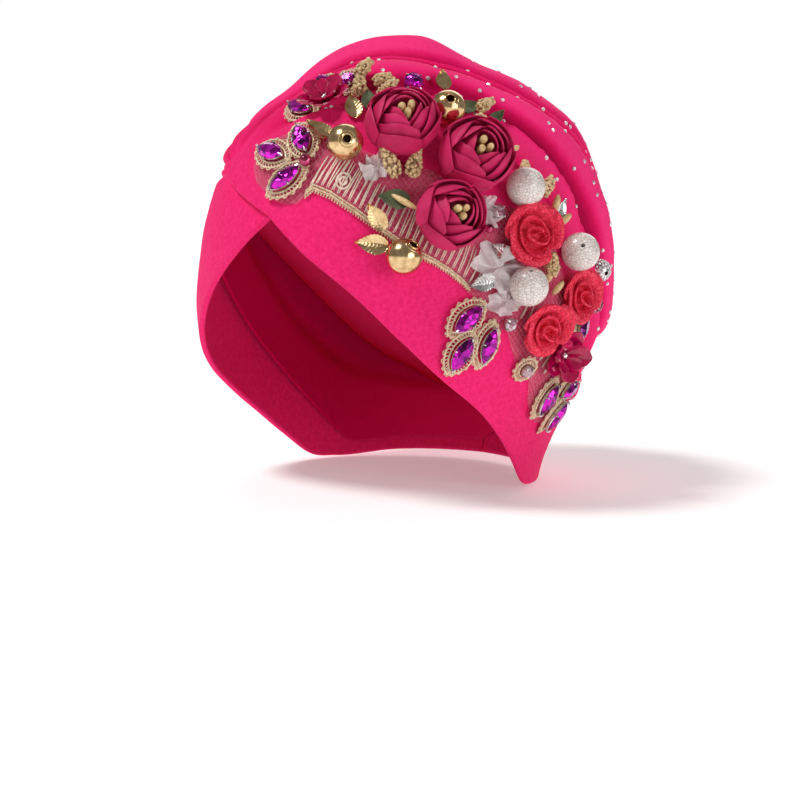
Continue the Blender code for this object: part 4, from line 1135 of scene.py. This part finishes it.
# Rings of a cut stone and of its cup, and points of a claw, each as its width and its share of the height
STONE_RINGS = ((0.95, 0.52), (0.95, 0.60), (0.76, 0.83), (0.494, 1.0))
CUP_RINGS = ((0.70, 0.0), (0.92, 0.2), (1.02, 0.5), (1.0, 0.60), (0.95, 0.55), (0.85, 0.3))
CLAW_POINTS = ((1.03, 0.2), (1.06, 0.6), (0.99, 0.78), (0.86, 0.86))
CLAW_WIRE = 0.42
FACETS_SHARP = 12.0


def stone_ring(cut, sides, scale=1.0, height=0.0, grow=0.0):
    """A level ring round a stone that is cut to a length, a width and, maybe, two points."""
    length, width, pointed = cut
    angle = turns(sides)
    narrow = abs(np.sin(angle)) ** 0.45 if pointed else 1.0
    return np.stack([(length / 2.0 + grow) * scale * np.cos(angle),
                     (width / 2.0 + grow) * scale * np.sin(angle) * narrow, np.full(sides, height)], -1)


def make_stone(name, seat, cut, height, look, slot, nodes):
    """Faceted stone in a silver cup, held by four claws."""
    shape = Shape(seat)
    rings = [stone_ring(cut, STONE_SIDES, scale, height * rise) for scale, rise in STONE_RINGS]
    rings[2] = (rings[2] + np.roll(rings[2], -1, axis=0)) / 2.0
    faces = grid_faces(2, STONE_SIDES, True)
    for ring in (1, 2):
        for side in range(STONE_SIDES):
            low, low_after = (ring * STONE_SIDES + step % STONE_SIDES for step in (side, side + 1))
            high, high_after = low + STONE_SIDES, low_after + STONE_SIDES
            if ring == 1:
                faces += [[low, low_after, high], [low_after, high_after, high]]
            else:
                faces += [[low, high_after, high], [low, low_after, high_after]]
    faces.append([3 * STONE_SIDES + side for side in range(STONE_SIDES)])
    shape.add(np.concatenate(rings), faces)
    shape.rings(np.stack([stone_ring(cut, 24, scale, height * rise) for scale, rise in CUP_RINGS]), 1)
    length, width, pointed = cut
    for angle in turns(4) + (0.0 if pointed else math.pi / 4.0):
        foot = np.array([math.cos(angle) * length / 2.0, math.sin(angle) * width / 2.0])
        claw = [(*foot * reach, rise * height) for reach, rise in CLAW_POINTS]
        shape.cord(claw, (0.01, 0.01, 1.0), CLAW_WIRE, 1)
    shape.make(name, [look, SILVER], slot, nodes, FACETS_SHARP)


def make_stone_frame(name, seat, cut):
    """Corded frame embroidered round a stone: two cords, dense stitches between them and picots outside."""
    shape = Shape(seat)
    count = 72 if cut[2] else 48
    near, far, edge = (stone_ring(cut, count, 1.0, height, grow)
                       for grow, height in ((0.5, 0.5), (2.6, 0.5), (3.6, 0.35)))
    for ring in (near, far, edge):
        ring[:, 2] -= (ring[:, :2] ** 2).sum(1) / 170.0
    for ring, radius in ((near, 0.42), (far, 0.45)):
        shape.cord(np.concatenate([ring, ring[:2]]), OUTWARD, radius, sides=8, strands=2)
    for step in range(0, count, 2):
        stitch = np.linspace(near[step], far[(step + 1) % count], 4) + (0.0, 0.0, 0.12)
        shape.cord(stitch, OUTWARD, 0.28, sides=5)
    share = np.linspace(0.0, 1.0, 6)[:, None]
    for step in range(0, count, 4):
        first, last, top = far[step], far[(step + 3) % count], edge[(step + 1) % count]
        bow = top * 2.0 - (first + last) / 2.0
        picot = (1.0 - share) ** 2 * first + 2.0 * share * (1.0 - share) * bow + share ** 2 * last
        shape.cord(picot, OUTWARD, 0.26, sides=5)
    return shape.make(name, [GOLD_THREAD], "lace", sharp=CLOTH_SHARP)


# Leaves and sprigs
def make_leaf(name, row, look, slot, nodes, veins, teeth):
    """Pointed leaf with a midrib, side veins and a finely toothed edge."""
    share, side = spans((0.0, 1.0, 33), (-1.0, 1.0, 17))
    half = np.maximum(row["width"] / 2.0 * np.sin(math.pi * (0.12 + 0.88 * share ** 0.85)), 0.35)
    half = half * (1.0 + teeth * np.sin(share * 60.0) * abs(side) ** 4)
    rib = np.exp(-(side / 0.10) ** 2)
    side_veins = np.maximum(np.cos((share * 9.0 - abs(side) * 1.6) * math.tau), 0.0) ** 3
    rise = 0.10 * row["length"] * share ** 2 + 0.9 * abs(side) + 0.8 + veins * (rib * 0.9 + side_veins * 0.45)
    grid = np.stack([share * row["length"], half * side, rise], -1)
    shape = Shape(Seat(row, STONE_FOOT))
    shape.wall(grid, grid - (0.0, 0.0, PETAL_THICKNESS))
    shape.make(name, [look], slot, nodes, CLOTH_SHARP)


SPRIG_BUDS = 95
SPRIG_BUD = [(0.3, -0.9), (0.85, -0.5), (1.0, 0.0), (0.85, 0.5), (0.3, 0.9)]
GOLDEN_TURN = 2.39996


def make_sprig(name, row, grown, seed, nodes):
    """A spike of tight small buds that point outward and to the tip."""
    chance = np.random.default_rng(seed)
    shape = Shape(Seat(row, SPRIG_FOOT))
    length, reach = row["length"] * grown, row["width"] * grown / 2.0

    def on_stem(share):
        return np.stack([share * length, 0.0 * share, reach * 1.14 + 0.12 * length * (share - 0.3)], -1)

    shape.cord(on_stem(np.linspace(0.0, 1.0, 8)), OUTWARD, 0.7, sides=8)
    for bud in range(SPRIG_BUDS):
        place = min(max((bud + 0.5) / SPRIG_BUDS + chance.normal(0.0, 0.03), 0.0), 1.0)
        half = reach * (0.45 + 0.55 * math.sin(math.pi * min(place + 0.15, 1.0))) * chance.uniform(0.85, 1.2)
        turn = bud * GOLDEN_TURN + chance.normal(0.0, 0.35)
        around = np.array([0.0, math.cos(turn), math.sin(turn)])
        out = unit(around + (0.35 + 0.9 * place ** 3, 0.0, 0.0) + chance.normal(0.0, 0.3, 3))
        rings = lathe(SPRIG_BUD, 8) * chance.uniform(0.62, 0.95)
        shape.rings(on_stem(place) + around * half * 0.72 + rings @ directions(out, [0.1, 0.2, 0.97]))
    shape.make(name, [BERRY], "stamen_gold", nodes, 70.0)


# Lace
def lace_place(azimuth, level, lift):
    """Point that far above the outside of the over band, and the form's direction there."""
    azimuth, level = np.asarray(azimuth, float), np.asarray(level, float)
    outside = over_lift(azimuth, level) + BAND_THICKNESS
    return on_form(azimuth, level, outside + lift), form_normal(on_form(azimuth, level))


# Where the lace's own edge cuts in above its solid, to meet the frames of the stones
LACE_NOTCH = table("azimuth level", [
    (45, -200), (46, -85), (50, -88.5), (54, -93), (58, -99), (61, -107), (63, -119), (64, -200),
])
NET_STEP = 2.2
NET_SLANT = 0.62
TULLE_LIFT = 0.75
# The corded border runs from and to azimuths. Elsewhere the frames of the stones are the lace's edge
BORDER = (11.0, 56.0)
# Slanted stitches: from and to azimuths, how far above the border they start, and how tall they are
STITCHES = ((12.0, 57.0, 2.8, 11.0), (70.0, 84.0, 16.0, 9.0))
# Threads of the lace: its net, border cords, picots, slanted stitches and rings
NET_WIRE = 0.08
BORDER_CORD = 0.42
PICOT_CORD = 0.30
STITCH_CORD = 0.27
RING_CORD = 0.4
PICOT_STEP = 1.25
STITCH_STEP = 1.55
# Two rings worked into the lace: azimuth and level, and how wide they are
LACE_RINGS = (21.0, -57.0)
LACE_RING_REACHES = (2.8, 1.4)


def lace_low(azimuth):
    return np.maximum(read(LACE, "low", azimuth), read(LACE_NOTCH, "level", azimuth))


def lace_high(azimuth):
    return read(LACE, "high", azimuth)


def make_tulle():
    azimuth, share = spans((LACE["azimuth"][0], LACE["azimuth"][-1], 220), (0.0, 1.0, 40))
    level = lace_low(azimuth) + (lace_high(azimuth) - lace_low(azimuth)) * share
    points, _ = lace_place(azimuth, level, TULLE_LIFT + 0.12 * np.sin(azimuth * 0.9 + level * 0.3))
    shape = Shape()
    shape.add(points, grid_faces(*points.shape[:2]))
    return shape.make("lace_tulle", [NET], "lace", ["lace"], CLOTH_SHARP)


def make_net():
    """Threads of the net, in two slanted directions."""
    shape = Shape()
    level = np.arange(-152.0, -36.0, 1.6)
    for slant in (NET_SLANT, -NET_SLANT):
        for start in np.arange(-120.0, 190.0, NET_STEP / 1.35):
            azimuth = start + slant * (level + 90.0)
            inside = ((azimuth > LACE["azimuth"][0]) & (azimuth < LACE["azimuth"][-1])
                      & (level > lace_low(azimuth)) & (level < lace_high(azimuth)))
            for run in np.split(np.arange(len(level)), np.nonzero(np.diff(inside.astype(int)))[0] + 1):
                if inside[run[0]] and len(run) > 2:
                    shape.cord(*lace_place(azimuth[run], level[run], TULLE_LIFT + 0.1), NET_WIRE, sides=4)
    return shape.make("lace_net", [NET_THREAD], "lace", sharp=CLOTH_SHARP)


def make_embroidery():
    """Corded border with picots, slanted stitches and rings of the lace."""
    shape = Shape()
    azimuth = np.linspace(*BORDER, round((BORDER[1] - BORDER[0]) * 5))
    for above in (0.9, 1.9):
        points, normals = lace_place(azimuth, lace_low(azimuth) + above, 1.2)
        shape.cord(points, normals, BORDER_CORD, sides=8, strands=2)
    run = run_along(points)
    for place in np.arange(0.5, run[-1] - 0.5, PICOT_STEP):
        middle = np.interp(place, run, azimuth)
        picot = lace_place(middle + np.array([-0.25, 0.15, 0.0, 0.35]),
                           lace_low(middle) + np.array([0.7, -0.2, -0.7, 0.5]), 1.0)
        shape.cord(*picot, PICOT_CORD, sides=5)
    chance = np.random.default_rng(11)
    share = np.linspace(0.0, 1.0, 7)
    for first, last, foot, tall in STITCHES:
        for start in np.arange(first, last, STITCH_STEP):
            for beside in (0.0, 0.45):
                low = lace_low(start) + foot
                top = min(low + tall + chance.uniform(-0.8, 0.8), lace_high(start) - 1.0)
                across = start + beside + (3.2 + chance.uniform(-0.5, 0.5)) * share
                bowed = 1.0 + 0.35 * np.sin(share * math.pi)
                shape.cord(*lace_place(across, low + (top - low) * share, bowed), STITCH_CORD, 1, sides=5)
    turn = np.linspace(0.0, math.tau, 25)
    middle, level = LACE_RINGS
    for reach in LACE_RING_REACHES:
        ring = lace_place(middle + reach * 0.68 * np.cos(turn), level + reach * np.sin(turn), 1.5)
        shape.cord(*ring, RING_CORD, 1, sides=8, strands=2)
    return shape.make("lace_embroidery", [GOLD_THREAD, CREAM_THREAD], "lace", sharp=CLOTH_SHARP)


def make_crumple(name, row, seed):
    """A gathered scrap of pale tulle behind the flowers."""
    chance = np.random.default_rng(seed)
    turn, reach = spans((0.0, math.tau, 73), (0.02, 1.0, 26))
    phase = chance.uniform(0.0, math.tau, 4)
    outline = reach * (1.0 + 0.17 * np.sin(turn * 2.0 + phase[0]) + 0.08 * np.sin(turn * 7.0 + phase[1])
                       + 0.03 * np.sin(turn * 23.0 + phase[2]))
    across, up = outline * np.cos(turn), outline * np.sin(turn)
    ruffle = np.sin(turn * 5.0 + 1.6 * np.sin(turn * 2.0 + phase[3]) + 2.2 * reach)
    height = 1.9 * ruffle * reach ** 0.7 + 0.9 * np.sin(turn * 11.0 + 4.0 * reach + phase[0]) * reach
    height = height + 0.7 * np.sin(across * 9.0 + up * 6.0) + 1.0
    points, _ = lace_place(row["azimuth"] + across * row["wide"] / 1.45, row["level"] + up * row["tall"],
                           1.2 + np.maximum(height + 1.2, 0.1))
    shape = Shape()
    shape.add(points, grid_faces(*points.shape[:2]))
    return shape.make(name, [WHITE_NET], "lace", sharp=CLOTH_SHARP)


# Where each ornament sits: azimuth, level, then its size and how it is turned. The felt roses spread a little
# past their solids and lean to the front
BUD_ROSES = table("azimuth level radius turn lean_up lean_across", [
    (35, -39, 14.6, 20, 4, 0), (56, -48, 14.8, 80, 8, -6), (47, -69, 13.6, 140, -4, -6),
])
FELT_ROSES = table("azimuth level radius lean_up lean_across spread", [
    (72, -74, 11.0, 0, -18, 1.21), (93, -98, 9.0, 0, -14, 1.34), (78, -109, 9.6, -12, -16, 1.26),
])
ACRYLIC_FLOWERS = table("azimuth level radius lean_up lean_across", [
    (6, -28, 11.5, -34, 14), (88, -121, 11.5, 4, -26),
])
GOLD_BEADS = table("azimuth level radius hole_up hole_across", [
    (20, -47, 7.2, -20, 10), (50, -31, 7.0, -10, -12), (38, -81, 7.2, 60, 30),
])
PEARLS = table("azimuth level radius hole_up hole_across", [
    (70, -58, 8.0, 60, 20), (88, -80, 8.0, 20, -50), (69, -93, 8.0, 60, -20),
])
SIDE_BEADS = table("azimuth level radius bore", [(107, -87, 4.6, 1.0), (103, -101, 4.0, 1.0)])
LONG = "azimuth level length width turn"
GOLD_LEAVES = table(LONG, [
    (15, -43, 13, 8, 155), (20, -34, 12, 7, 110), (34, -79, 13, 8, 175), (33, -73, 12, 7, 125),
    (51, -27, 9, 6, 20),
])
GREEN_LEAVES = table(LONG, [
    (39, -63, 13, 8, 175), (24, -30, 10, 7, 105), (59, -36, 13, 8, 0),
])
SILVER_LEAVES = table(LONG, [
    (84, -71, 14, 7, 60), (62, -91, 13, 7, 190), (67, -83, 13, 7, 150),
])
SPRIGS = table(LONG, [
    (16, -22, 8, 5.5, 100), (26, -23, 8, 5.5, 60), (35, -55, 10, 5.5, 115), (39, -55, 9, 5.5, 75),
    (62, -32, 6, 4.4, 30), (78, -59, 8, 5.5, 40), (79, -89, 7, 5.0, 90),
])
NAVETTES = table("azimuth level turn", [
    (-3, -49, 165), (6, -44, 125), (5, -58, 45), (-10.5, -27, 170), (55, -106, 40), (54, -119, 65),
    (61, -116, 75), (88, -139, 65), (97, -147, 70), (98, -136, 20), (96, -111, 50),
])
ROUND_STONES = table("azimuth level width clear framed", [
    (-8, -18, 6.5, 0, 1), (6, -17, 6.5, 0, 1), (41, -24, 7.0, 0, 1),
    (63, -66, 5.5, 1, 0), (67, -108, 5.5, 1, 0), (75, -126, 5.5, 1, 1),
])
# What fills in between them in the looks alone
LOOSE_PIPS = table("azimuth level length girth turn", [
    (67, -41, 8.0, 3.2, 50), (69, -44, 7.5, 3.0, 20), (83, -66, 8.0, 3.2, 75), (85, -70, 7.5, 3.0, 35),
    (79, -92, 8.0, 3.3, 100), (81, -97, 7.0, 3.0, 55), (62, -37, 6.5, 2.6, 80), (34, -61, 12.0, 2.6, -35),
])
SMALL_BEADS = table("azimuth level radius", [
    (10, -52, 2.6), (60, -72, 2.0), (84, -126, 2.2), (92, -130, 2.0),
])
SMALL_SPRIGS = table(LONG, [
    (11, -16, 8, 6.5, 60), (20, -17, 7, 6.0, 30), (66, -26, 7, 5.5, 20), (74, -52, 6, 5.0, 75),
])
SMALL_LEAVES = table("azimuth level length width turn lean_across", [
    (53, -19, 9.0, 7.0, 88, -38), (58, -25, 12.0, 6.5, 10, 0), (69, -31, 9.0, 5.0, 35, 0),
])
SMALL_LEAF_LOOKS = (("small_gold_leaf", GOLD, "gold_metal"), ("small_green_leaf_1", LEAF, "green_cloth"),
                    ("small_green_leaf_2", LEAF, "green_cloth"))
SMALL_STONE = {"azimuth": 38.5, "level": -16.5, "lean_up": -42.0, "lean_across": 4.0}
TULLE_SCRAPS = table("azimuth level wide tall", [
    (63, -86, 10, 9), (59, -66, 6, 7), (66, -99, 7, 6), (30, -51, 7, 5),
])

GOLD_BORE = 1.6
PEARL_BORE = 0.9
NAVETTE_CUT = (15.0, 7.5, True)
SMALL_CUT = (8.0, 8.0, False)
STONE_HEIGHT = 4.4
ROUND_STONE_HEIGHT = 4.0
SPRIG_GROWN = 1.25
# Leaves: kind, places, look, slot, and how high their veins and how deep their teeth are
LEAF_KINDS = (
    ("gold_leaf", GOLD_LEAVES, GOLD, "gold_metal", 0.30, 0.05),
    ("green_leaf", GREEN_LEAVES, LEAF, "green_cloth", 0.18, 0.0),
    ("silver_leaf", SILVER_LEAVES, SILVER, "silver_metal", 0.35, 0.07),
)


def make_ornaments():
    """Flowers and beads, each in its place."""
    flowers = {make_bud: BUD_ROSES, make_felt_rose: FELT_ROSES, make_acrylic_flower: ACRYLIC_FLOWERS}
    for make, places in flowers.items():
        for number, row in numbered(places):
            make(number, row)
    for number, row in numbered(GOLD_BEADS):
        make_bead(f"gilt_bead_{number}", row, GOLD_BORE, GOLD, "gold_metal", f"gold_bead_{number}", True)
    for number, row in numbered(PEARLS):
        make_bead(f"crackle_pearl_{number}", row, PEARL_BORE, PEARL, "pearl", f"pearl_{number}", False)
    for number, row in numbered(SIDE_BEADS):
        make_pave_bead(number, row)


def make_trim():
    """Leaves, sprigs and stones. Returns the frames that belong to the lace."""
    for kind, places, look, slot, veins, teeth in LEAF_KINDS:
        for number, row in numbered(places):
            make_leaf(f"veined_{kind}_{number}", row, look, slot, [f"{kind}_{number}"], veins, teeth)
    for number, row in numbered(SPRIGS):
        make_sprig(f"bud_sprig_{number}", row, SPRIG_GROWN, 40 + number, [f"sprig_{number}"])
    frames = []
    for number, row in numbered(NAVETTES):
        seat = Seat(row, NAVETTE_FOOT)
        make_stone(f"cut_navette_{number}", seat, NAVETTE_CUT, STONE_HEIGHT, PURPLE, "purple_stone",
                   [f"navette_{number}"])
        frames.append(make_stone_frame(f"navette_frame_{number}", seat, NAVETTE_CUT))
    for number, row in numbered(ROUND_STONES):
        seat, cut = Seat(row, STONE_FOOT), (row["width"], row["width"], False)
        look, slot = (CLEAR, "clear_stone") if row["clear"] else (PURPLE, "purple_stone")
        make_stone(f"cut_round_stone_{number}", seat, cut, ROUND_STONE_HEIGHT, look, slot,
                   [f"round_stone_{number}"])
        if row["framed"]:
            frames.append(make_stone_frame(f"round_frame_{number}", seat, cut))
    return frames


def make_loose():
    """Pips, small beads, sprigs, leaves, a stone and scraps of tulle that fill in between the flowers."""
    pips, beads = Shape(), Shape()
    for row in rows(LOOSE_PIPS):
        pips.seat = Seat(row, LOOSE_FOOT)
        across, up, along = np.moveaxis(lathe(seed_bead(row["girth"] / 2.0, row["length"], 11), 12), -1, 0)
        pips.rings(np.stack([along, across, row["girth"] * 0.6 + up + along * 0.3], -1))
    for row in rows(SMALL_BEADS):
        beads.seat = Seat(row, LOOSE_FOOT)
        beads.rings(lathe(ball(row["radius"], 0.08, 9), 10))
    for number, row in numbered(SMALL_SPRIGS):
        make_sprig(f"small_sprig_{number}", row, 1.0, 60 + number, ())
    for row, (name, look, slot) in zip(rows(SMALL_LEAVES), SMALL_LEAF_LOOKS):
        make_leaf(name, row, look, slot, (), 0.25, 0.03)
    seat = Seat(SMALL_STONE, STONE_FOOT)
    make_stone("small_round_stone", seat, SMALL_CUT, STONE_HEIGHT, PURPLE, "purple_stone", ())
    pips.make("loose_pips", [PIP], "stamen_gold")
    beads.make("small_beads", [GARNET], "purple_stone", sharp=15.0)
    for number, row in numbered(TULLE_SCRAPS):
        scrap = make_crumple(f"tulle_scrap_{number}", row, number)


# Camera, light and floor
VIEW_AZIMUTH = 34.0
VIEW_ELEVATION = 2.0
VIEW_ROLL = 2.0
VIEW_DISTANCE = 800.0
SENSOR_WIDTH = 36.0
FOCAL_PIXELS = 1800.0
FRAME_PIXELS = 800.0
AIM = (0.0, 0.0, -83.0)
AIM_PIXEL = (405.0, 250.0)
LIGHTS = table("azimuth elevation spread power", [(-34, 56, 16, 2.0), (80, 4, 40, 1.2), (205, 30, 45, 0.6)])
LIGHT_DISTANCE = 2.0
WORLD_STRENGTH = 0.22
FLOOR_HALF = 6.0
FLOOR_GAP = 0.0008


def toward(azimuth, elevation):
    """Direction from the middle to a place round it."""
    azimuth, elevation = math.radians(azimuth), math.radians(elevation)
    return np.array([math.sin(azimuth) * math.cos(elevation), -math.cos(azimuth) * math.cos(elevation),
                     math.sin(elevation)])


def make_camera():
    """The photograph's camera: it stands round the aim, which it sees off its own middle."""
    back, roll = toward(VIEW_AZIMUTH, VIEW_ELEVATION), math.radians(VIEW_ROLL)
    right = unit(np.cross(-back, OUTWARD))
    up = np.cross(right, -back)
    right, up = right * math.cos(roll) + up * math.sin(roll), up * math.cos(roll) - right * math.sin(roll)
    beside, above = (FRAME_PIXELS / 2.0 - np.array(AIM_PIXEL)) / FOCAL_PIXELS
    ahead = unit(-back + right * beside - up * above)
    up = unit(up - ahead * (up @ ahead))
    right = np.cross(ahead, up)
    data = bpy.data.cameras.new("camera")
    data.sensor_width = SENSOR_WIDTH
    data.lens = SENSOR_WIDTH * FOCAL_PIXELS / FRAME_PIXELS
    data.clip_start, data.clip_end = 0.05, 20.0
    made = add_object("camera", data)
    turned = Matrix(np.stack([right, up, -ahead], 1).tolist()).to_4x4()
    made.matrix_world = Matrix.Translation(Vector((np.array(AIM) + back * VIEW_DISTANCE) * MM)) @ turned
    bpy.context.scene.camera = made


def make_light(name, row):
    """A distant light, softened over a spread of degrees, so that the floor is lit evenly."""
    back = Vector(toward(row["azimuth"], row["elevation"]))
    data = bpy.data.lights.new(name, "SUN")
    data.angle = math.radians(row["spread"])
    data.energy = row["power"]
    made = add_object(name, data)
    made.location = back * LIGHT_DISTANCE
    made.rotation_mode = "QUATERNION"
    made.rotation_quaternion = back.to_track_quat("Z", "Y")


def make_world():
    """A dim world that the camera sees as white."""
    world = bpy.data.worlds.new("studio")
    world.use_nodes = True
    tree = world.node_tree
    dim = tree.nodes["Background"]
    dim.inputs["Color"].default_value = (1.0, 0.98, 0.97, 1.0)
    dim.inputs["Strength"].default_value = WORLD_STRENGTH
    white = tree.nodes.new("ShaderNodeBackground")
    white.inputs["Color"].default_value = (1.0, 1.0, 1.0, 1.0)
    mix = tree.nodes.new("ShaderNodeMixShader")
    seen = tree.nodes.new("ShaderNodeLightPath")
    for number, socket in enumerate((seen.outputs["Is Camera Ray"], dim.outputs[0], white.outputs[0])):
        tree.links.new(socket, mix.inputs[number])
    tree.links.new(mix.outputs[0], tree.nodes["World Output"].inputs["Surface"])
    bpy.context.scene.world = world
    bpy.context.scene.view_settings.view_transform = "Standard"


def make_floor():
    level = cad_box[0][2] - FLOOR_GAP
    mesh = bpy.data.meshes.new("floor")
    corners = [(x * FLOOR_HALF, y * FLOOR_HALF, level) for x, y in ((-1, -1), (1, -1), (1, 1), (-1, 1))]
    mesh.from_pydata(corners, [], [(0, 1, 2, 3)])
    mesh.materials.append(PAPER)
    add_object("floor", mesh)


def main():
    outer, inner, fold_shades = crown_walls()
    make_bands()
    make_crown(outer, inner, fold_shades)
    make_seam()
    make_crystals(outer)
    tulle = make_tulle()
    lace_parts = [make_net(), make_embroidery()]
    make_ornaments()
    lace_parts += make_trim()
    make_loose()
    make_camera()
    for name, row in zip(("key_light", "fill_light", "back_light"), rows(LIGHTS)):
        make_light(name, row)
    make_world()
    make_floor()


main()
